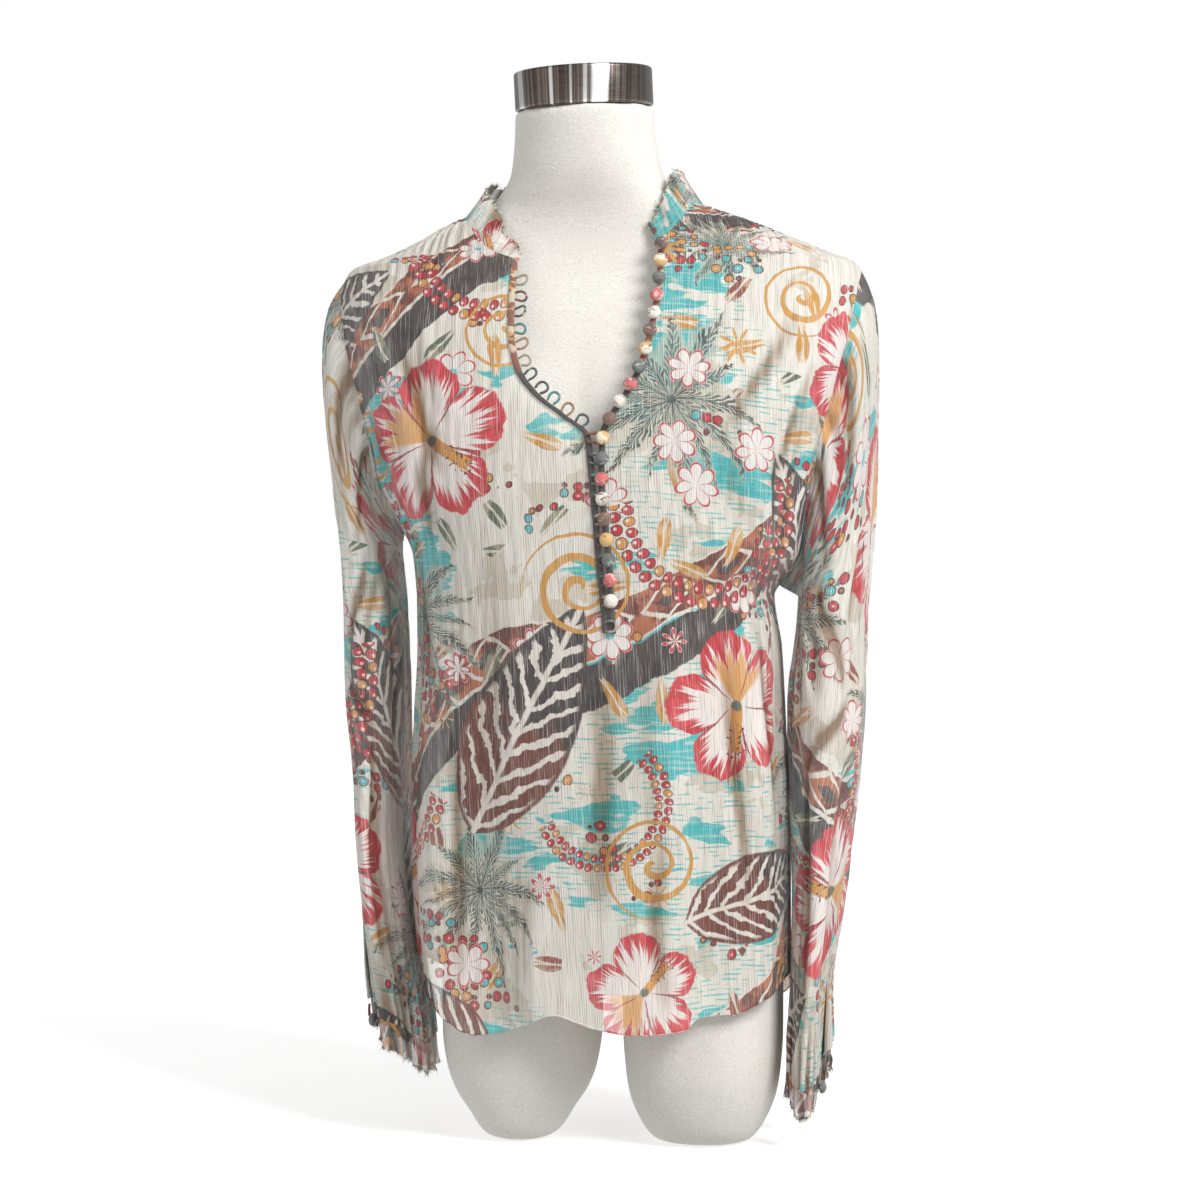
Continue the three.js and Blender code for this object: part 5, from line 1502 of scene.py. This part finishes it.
# The cuffs.
# Narrow gathered strips below the wrist seam, open at the slit and frayed at the free edge like the collar.
CUFF_HEIGHT, CUFF_WAVES, CUFF_GAP = 23, 12, 0.034
CUFF_FULL = 1.6  # how much more cloth the gathers hold than the cuff's length


def cuff_grid(side):
    turns = CUFF_SLIT + mix(CUFF_GAP, 1 - CUFF_GAP, np.linspace(0, 1, 260))
    turn, level = np.meshgrid(turns, np.linspace(0, 1, 17))
    across = (turn - turns[0]) / (turns[-1] - turns[0])
    drop = CUFF_HEIGHT * level * (1 + 0.05 * level * wander(across * 60, side + 4))
    seam_z = cuff_height(side, turn)
    below = sleeve_ring(side, turn % 1, seam_z - drop)
    centre = (sleeve_ring(side, 0 * turn, seam_z) + sleeve_ring(side, 0 * turn + 0.5, seam_z)) / 2
    seam = sleeve_ring(side, turn % 1, seam_z)
    out = (seam - centre) * (1, 1, 0)
    out /= np.linalg.norm(out, axis=-1, keepdims=True)
    wave = np.sin(2 * np.pi * CUFF_WAVES * across) * np.interp(level, [0, FRILL_SHARE, 1], [0.2, 0.9, 2.8])
    pleats = np.sin(2 * np.pi * (31 * across + 0.5 * wander(across * 50, 1))) * (0.3 + 0.3 * level)
    height = wave + pleats + 0.6 * level * wander(across * 21, 2 + side)
    return below + out * height[..., None], 0.5 - height / SLEEVE_DIP_DEPTH


cuffs = {}
# Each cuff's cut from the print: its slant in radians and where it starts. The second follows a ribbon.
CUFF_CUTS = ((LEFT, "cuff_right", 0.0, (150, 62)), (RIGHT, "cuff_left", 0.512, (60, -16)))
for side, node, slant, start in CUFF_CUTS:
    places, dips = cuff_grid(side)
    arc = along_row(places[:1]) + 0 * places[..., 0]
    fall = along_row(places.transpose(1, 0, 2)).T
    along = arc * CUFF_FULL
    map_u = along * math.cos(slant) + fall * math.sin(slant)
    map_v = along * math.sin(slant) - fall * math.cos(slant)
    cuff_map = np.stack([map_u, map_v], -1) + start
    cuff = cloth_object(node + "_cloth", [places], [cuff_map], (side == RIGHT,), [dips])
    cuff.data.materials.append(chiffon)
    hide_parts(node)
    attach(cuff, "root")
    cuffs[side] = places

# The frayed edges.
# Loose ends of pale silk thread stand out along the free edges of the collar and cuffs.
FRAY = {"wide": 0.36, "short": 1.2, "long": 5.0, "per_mm": 5.0}


def frayed_edge(edge, away, seed):
    """Points and faces of short bent threads that leave an edge about in the direction `away`."""
    chance = np.random.default_rng(seed)
    count = int(np.sum(np.linalg.norm(np.diff(edge, axis=0), axis=-1)) * FRAY["per_mm"])
    at = chance.uniform(0, len(edge) - 1.001, count)
    row = at.astype(int)
    foot = mix(edge[row], edge[row + 1], (at - row)[:, None])
    way = away[row] + chance.normal(0, 0.45, (count, 3))
    way /= np.linalg.norm(way, axis=-1, keepdims=True)
    side = np.cross(way, chance.normal(0, 1, (count, 3)))
    side *= FRAY["wide"] / 2 / np.linalg.norm(side, axis=-1, keepdims=True)
    long = chance.uniform(FRAY["short"], FRAY["long"], count)[:, None]
    long = long * chance.uniform(0.5, 1, count)[:, None]
    bend = chance.normal(0, 0.35, (count, 3)) * long
    middle = foot + way * long * 0.55 + bend * 0.3
    tip = foot + way * long + bend
    places = np.stack([foot - side, foot + side, middle - side, middle + side, tip], 1).reshape(-1, 3)
    first = np.arange(count) * 5
    quads = np.stack([first, first + 1, first + 3, first + 2], -1).tolist()
    tips = np.stack([first + 2, first + 3, first + 4], -1).tolist()
    return places, quads + tips


def thread_look():
    look = Look("loose_thread")
    place = look.node("ShaderNodeTexCoord", {}).outputs["Object"]
    tint = look.noise(place, 420, 2)
    twist = look.noise(place, 2400, 1)
    colour = look.paint(look.smooth(tint, 0.40, 0.52), ink(240, 236, 224), ink(176, 164, 138))
    colour = look.paint(look.smooth(tint, 0.57, 0.60), colour, ink(96, 84, 74))
    bump = look.node("ShaderNodeBump", {"Strength": 0.3, "Distance": 0.0002, "Height": twist})
    return look.finish(Base_Color=colour, Roughness=0.7, Normal=bump.outputs[0])


loose_thread = thread_look()
free_edges = [
    ("collar_threads", collar_places),
    ("cuff_right_threads", cuffs[LEFT]),
    ("cuff_left_threads", cuffs[RIGHT]),
]
for seed, (name, places) in enumerate(free_edges):
    edge, before = places[-1], places[-3]
    away = edge - before
    away /= np.linalg.norm(away, axis=-1, keepdims=True)
    points, faces = frayed_edge(edge - away * 0.3, away, seed)
    threads = mesh_object(name, points, faces)
    threads.data.materials.append(loose_thread)
    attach(threads, "root")

# The slit's bindings.
# A narrow folded strip of the print's darkest part, sewn along each edge of the slit.
BINDING = {"wide": 5.0, "thick": 1.7, "lift": 1.55, "start": 0.1, "sides": 10}


def slit_edge(side, share):
    """The slit's edge, with its unit directions into the panel and out of the cloth."""
    angle, z = front_part(side, share, np.array([11 / 12, 1.0]))
    places = body_point(angle, z)
    edge = places[:, 1]
    inward = places[:, 0] - edge
    inward /= np.linalg.norm(inward, axis=-1, keepdims=True)
    normal = np.cross(inward, np.gradient(edge, axis=0)) * side
    normal /= np.linalg.norm(normal, axis=-1, keepdims=True)
    return edge, inward, normal


def oval_tube(name, path, across, out, wide, thick, sides):
    """A closed tube with an oval section along a path. `across` and `out` are its unit directions."""
    turn = np.linspace(0, 2 * np.pi, sides + 1)[:-1]
    rings = (
        path[:, None]
        + across[:, None] * (np.cos(turn) * wide / 2)[None, :, None]
        + out[:, None] * (np.sin(turn) * thick / 2)[None, :, None]
    )
    faces = tube_faces(len(path), sides)
    faces.append(tuple(reversed(range(sides))))
    faces.append(tuple(range((len(path) - 1) * sides, len(path) * sides)))
    made = mesh_object(name, rings.reshape(-1, 3), faces)
    shape = bmesh.new()
    shape.from_mesh(made.data)
    bmesh.ops.recalc_face_normals(shape, faces=shape.faces)
    shape.to_mesh(made.data)
    shape.free()
    made.data.shade_smooth()
    return made


LOW_FROM = (0.622, 0.612)  # between these heights the bindings turn to their dark ink


def scrap_look(name, main, second, third, scale=1.0, low=None):
    """A look for small pieces cut from the print: three inks on a plain weave, and `low` at the foot."""
    look = Look(name)
    place = look.node("ShaderNodeTexCoord", {}).outputs["Object"]
    x, y, z = look.parts(place)
    patches = look.noise(place, 95 * scale, 2, 0.55, Distortion=0.6)
    lines = look.noise(look.join(x * 0.7, y * 0.7, z * 1.8), 210 * scale, 2, 0.5, Distortion=1.2)
    colour = look.paint(look.smooth(patches, 0.53, 0.57), main, second)
    colour = look.paint(look.smooth(lines, 0.6, 0.64), colour, third)
    if low:
        colour = look.paint(look.smooth(z + patches * 0.03, *LOW_FROM), colour, low)
    worn = look.noise(place, 900, 2)
    colour = look.paint(worn * 0.16, colour, ink(226, 220, 208))
    weave = (z * 9000).sum("SINE") * (x * 9000 + y * 5000).sum("SINE")
    bump = look.node("ShaderNodeBump", {"Strength": 0.4, "Distance": 0.0003, "Height": weave * 0.3 + lines})
    return look.finish(Base_Color=colour, Roughness=0.62, Normal=bump.outputs[0], Sheen_Weight=0.2)


binding_look = scrap_look(
    "binding_cloth", ink(128, 66, 50), ink(206, 190, 164), ink(206, 152, 74), 0.6, low=ink(34, 28, 30)
)
binding_shares = np.linspace(SLIT_FOOT + 0.004, NECK, 150)
for side, node in ((LEFT, "binding_right"), (RIGHT, "binding_left")):
    edge, inward, normal = slit_edge(side, binding_shares)
    middle_in = BINDING["start"] + BINDING["wide"] / 2
    uneven = 0.12 * np.sin(np.arange(len(edge)) * 0.9) + 0.1 * np.sin(np.arange(len(edge)) * 0.37 + side)
    path = edge + inward * (middle_in + uneven)[:, None] + normal * BINDING["lift"]
    section = BINDING["wide"], BINDING["thick"], BINDING["sides"]
    strip = oval_tube(node + "_strip", path, inward, normal, *section)
    strip.data.materials.append(binding_look)
    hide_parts(node)
    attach(strip, "root")

# The covered buttons.
# Domed shells covered with scraps of the print and sewn on by a short shank, one to each loop.
BUTTON = {"radius": 5.4, "dome": 3.7, "skirt": 1.2, "height": 7.2, "rim": 0.6, "shank": 2.0, "stem": 4.2}
COVERS = {
    "cover_cream": (ink(236, 230, 218), ink(196, 184, 172), ink(120, 100, 92)),
    "cover_coral": (ink(206, 92, 92), ink(232, 178, 170), ink(96, 66, 62)),
    "cover_grey": (ink(88, 94, 92), ink(58, 56, 56), ink(178, 190, 186)),
    "cover_ochre": (ink(216, 172, 104), ink(238, 226, 206), ink(120, 86, 60)),
    "cover_brown": (ink(112, 74, 62), ink(70, 52, 48), ink(176, 150, 132)),
}
bpy.ops.object.select_all(action="DESELECT")
bpy.ops.mesh.primitive_uv_sphere_add(
    segments=24, ring_count=14, radius=BUTTON["radius"] / 1000, location=(0, 0, 0)
)
button = bpy.context.object
bpy.ops.object.mode_set(mode="EDIT")
bpy.ops.mesh.select_all(action="SELECT")
bpy.ops.mesh.bisect(
    plane_co=(0, 0, -BUTTON["skirt"] / 1000), plane_no=(0, 0, 1), use_fill=True, clear_inner=True
)
bpy.ops.mesh.select_all(action="DESELECT")
bpy.ops.object.mode_set(mode="OBJECT")
for face in button.data.polygons:
    face.select = face.normal.z < -0.9
bpy.ops.object.mode_set(mode="EDIT")
skirt_radius = math.sqrt(BUTTON["radius"] ** 2 - BUTTON["skirt"] ** 2)
bpy.ops.mesh.inset(thickness=BUTTON["rim"] / 1000, depth=0.0002)
bpy.ops.mesh.inset(thickness=(skirt_radius - BUTTON["rim"] - BUTTON["shank"]) / 1000)
bpy.ops.mesh.extrude_region_move(TRANSFORM_OT_translate={"value": (0, 0, -BUTTON["stem"] / 1000)})
bpy.ops.object.mode_set(mode="OBJECT")
flatten = Matrix.Diagonal((1, 1, BUTTON["dome"] / BUTTON["radius"], 1))
lift = Matrix.Translation((0, 0, (BUTTON["height"] - BUTTON["dome"]) / 1000))
button.data.transform(lift @ flatten)
select_only(button)
bpy.ops.object.shade_smooth_by_angle(angle=math.radians(50))


def points_of(mesh):
    points = np.zeros(len(mesh.vertices) * 3)
    mesh.vertices.foreach_get("co", points)
    return points.reshape(-1, 3)


def seat_of(node):
    """A button's foot and the way it faces, from its solid's round shape."""
    points = points_of(node.data)
    middle = points.mean(0)
    spread, ways = np.linalg.eigh(np.cov((points - middle).T))
    axis = ways[:, 0] if spread[1] - spread[0] > spread[2] - spread[1] else ways[:, 2]
    axis = axis * np.sign(np.dot(axis[:2], middle[:2]))
    foot = middle + axis * np.min((points - middle) @ axis)
    return Vector(foot), Vector(axis)


cover_looks = {name: scrap_look(name, *inks) for name, inks in COVERS.items()}
slots = {entry["node"]: entry["material_slot"] for entry in frame["record"]["subparts"]}
button_nodes = sorted(name for name in frame["nodes"] if "button" in name)
BUTTON_SPIN = 2.4  # each cover is turned this much more than the one before, so that no two look alike
for count, name in enumerate(button_nodes):
    foot, axis = seat_of(frame["nodes"][name])
    spin = Matrix.Rotation(count * BUTTON_SPIN, 4, "Z")
    place = Matrix.Translation(foot) @ axis.to_track_quat("Z", "Y").to_matrix().to_4x4() @ spin
    copy = bpy.data.objects.new(name + "_dome", button.data.copy())
    bpy.context.collection.objects.link(copy)
    copy.data.transform(place)
    copy.data.materials.append(cover_looks[slots[name]])
    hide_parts(name)
    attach(copy, "root")
bpy.data.objects.remove(button)

# The cord loops.
# Thin round cords sewn from bias strips of the print. The lower ones are over their buttons, and the ones on
# the open part of the slit stand out from its edge.
OPEN_FROM = 0.562  # the height above which the slit stands open and its loops hang free
CORD_FULLER = 0.00032  # brings the smoothed cord back to its thickness
LOOP_INKS = (
    (ink(36, 58, 62), ink(20, 24, 28), ink(150, 170, 168)),
    (ink(164, 150, 128), ink(96, 80, 66), ink(70, 140, 140)),
    (ink(44, 126, 130), ink(140, 150, 138), ink(30, 60, 64)),
    (ink(112, 44, 42), ink(52, 34, 34), ink(214, 150, 140)),
    (ink(158, 128, 90), ink(150, 98, 44), ink(52, 44, 40)),
)
loop_looks = [scrap_look("loop_cord_%d" % (i + 1), *inks, 0.8) for i, inks in enumerate(LOOP_INKS)]
for count, name in enumerate(sorted(name for name in frame["nodes"] if "loop" in name)):
    node = frame["nodes"][name]
    cord = bpy.data.objects.new(name + "_cord", node.data.copy())
    bpy.context.collection.objects.link(cord)
    cord.data.materials.clear()
    join_doubles(cord.data, 0.00001)
    apply_modifier(cord, "SUBSURF", levels=1, render_levels=1)
    apply_modifier(cord, "DISPLACE", strength=CORD_FULLER, mid_level=0.0)
    points = points_of(cord.data)
    if points[:, 2].mean() > OPEN_FROM and "cuff" not in name:
        free = ramp(points[:, 0], points[:, 0].min() + 0.002, points[:, 0].max())
        bent = (0.4 * math.sin(count * 4.3), -0.5 - 0.5 * math.sin(count * 1.7), 1.5 * math.sin(count * 2.9))
        points = points + free[:, None] * np.array(bent) / 1000
        cord.data.vertices.foreach_set("co", points.ravel())
    cord.data.shade_smooth()
    cord.data.materials.append(loop_looks[count * 3 % 5 if count % 4 else 0])
    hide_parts(name)
    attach(cord, "root")

# The floor and the light.
# A wide pale floor, even light from all round, and a large soft lamp high on the right.
bpy.ops.object.select_all(action="DESELECT")
bpy.ops.mesh.primitive_plane_add(size=24, location=(0, 0, -0.0004))
floor = bpy.context.object
floor.name = "floor"
floor_look = Look("floor")
floor_place = floor_look.node("ShaderNodeTexCoord", {}).outputs["Object"]
# The floor glows as painted light, less near the form and fully far off, so that it fades into the sky and
# the lamp's shadow on it stays faint.
far = floor_look.smooth(floor_look.length(floor_place), 0.15, 2.6)
glow = floor_look.paint(far, (0.72, 0.72, 0.72, 1), (1, 1, 1, 1))
floor_look.shader.inputs["Emission Strength"].default_value = 0.62
pale = (0.9, 0.9, 0.9, 1)
floor.data.materials.append(
    floor_look.finish(Base_Color=pale, Roughness=0.95, Emission_Color=glow, Specular_IOR_Level=0.0)
)
floor.visible_diffuse = False


def soft_lamp(name, place, size, power):
    lamp = bpy.data.objects.new(name, bpy.data.lights.new(name, "AREA"))
    lamp.data.size, lamp.data.energy = size, power
    lamp.location = place
    lamp.rotation_euler = (Vector(place) - aim).to_track_quat("Z", "Y").to_euler()
    bpy.context.collection.objects.link(lamp)


soft_lamp("main_lamp", (2.1, -1.9, 2.3), 1.2, 96)
soft_lamp("fill_lamp", (-2.4, -2.0, 1.4), 1.8, 6)
world = bpy.data.worlds.new("studio")
bpy.context.scene.world = world
world.use_nodes = True
sky = world.node_tree.nodes["Background"]
path = world.node_tree.nodes.new("ShaderNodeLightPath")
light = world.node_tree.nodes.new("ShaderNodeMix")
SKY_LIGHT, SKY_SEEN = 0.56, 1.0  # the sky's strength as a light, and as the camera sees it
light.inputs[2].default_value, light.inputs[3].default_value = SKY_LIGHT, SKY_SEEN
world.node_tree.links.new(path.outputs["Is Camera Ray"], light.inputs[0])
world.node_tree.links.new(light.outputs[0], sky.inputs["Strength"])
sky.inputs["Color"].default_value = (1, 1, 1, 1)
bpy.context.scene.view_settings.view_transform = "Standard"
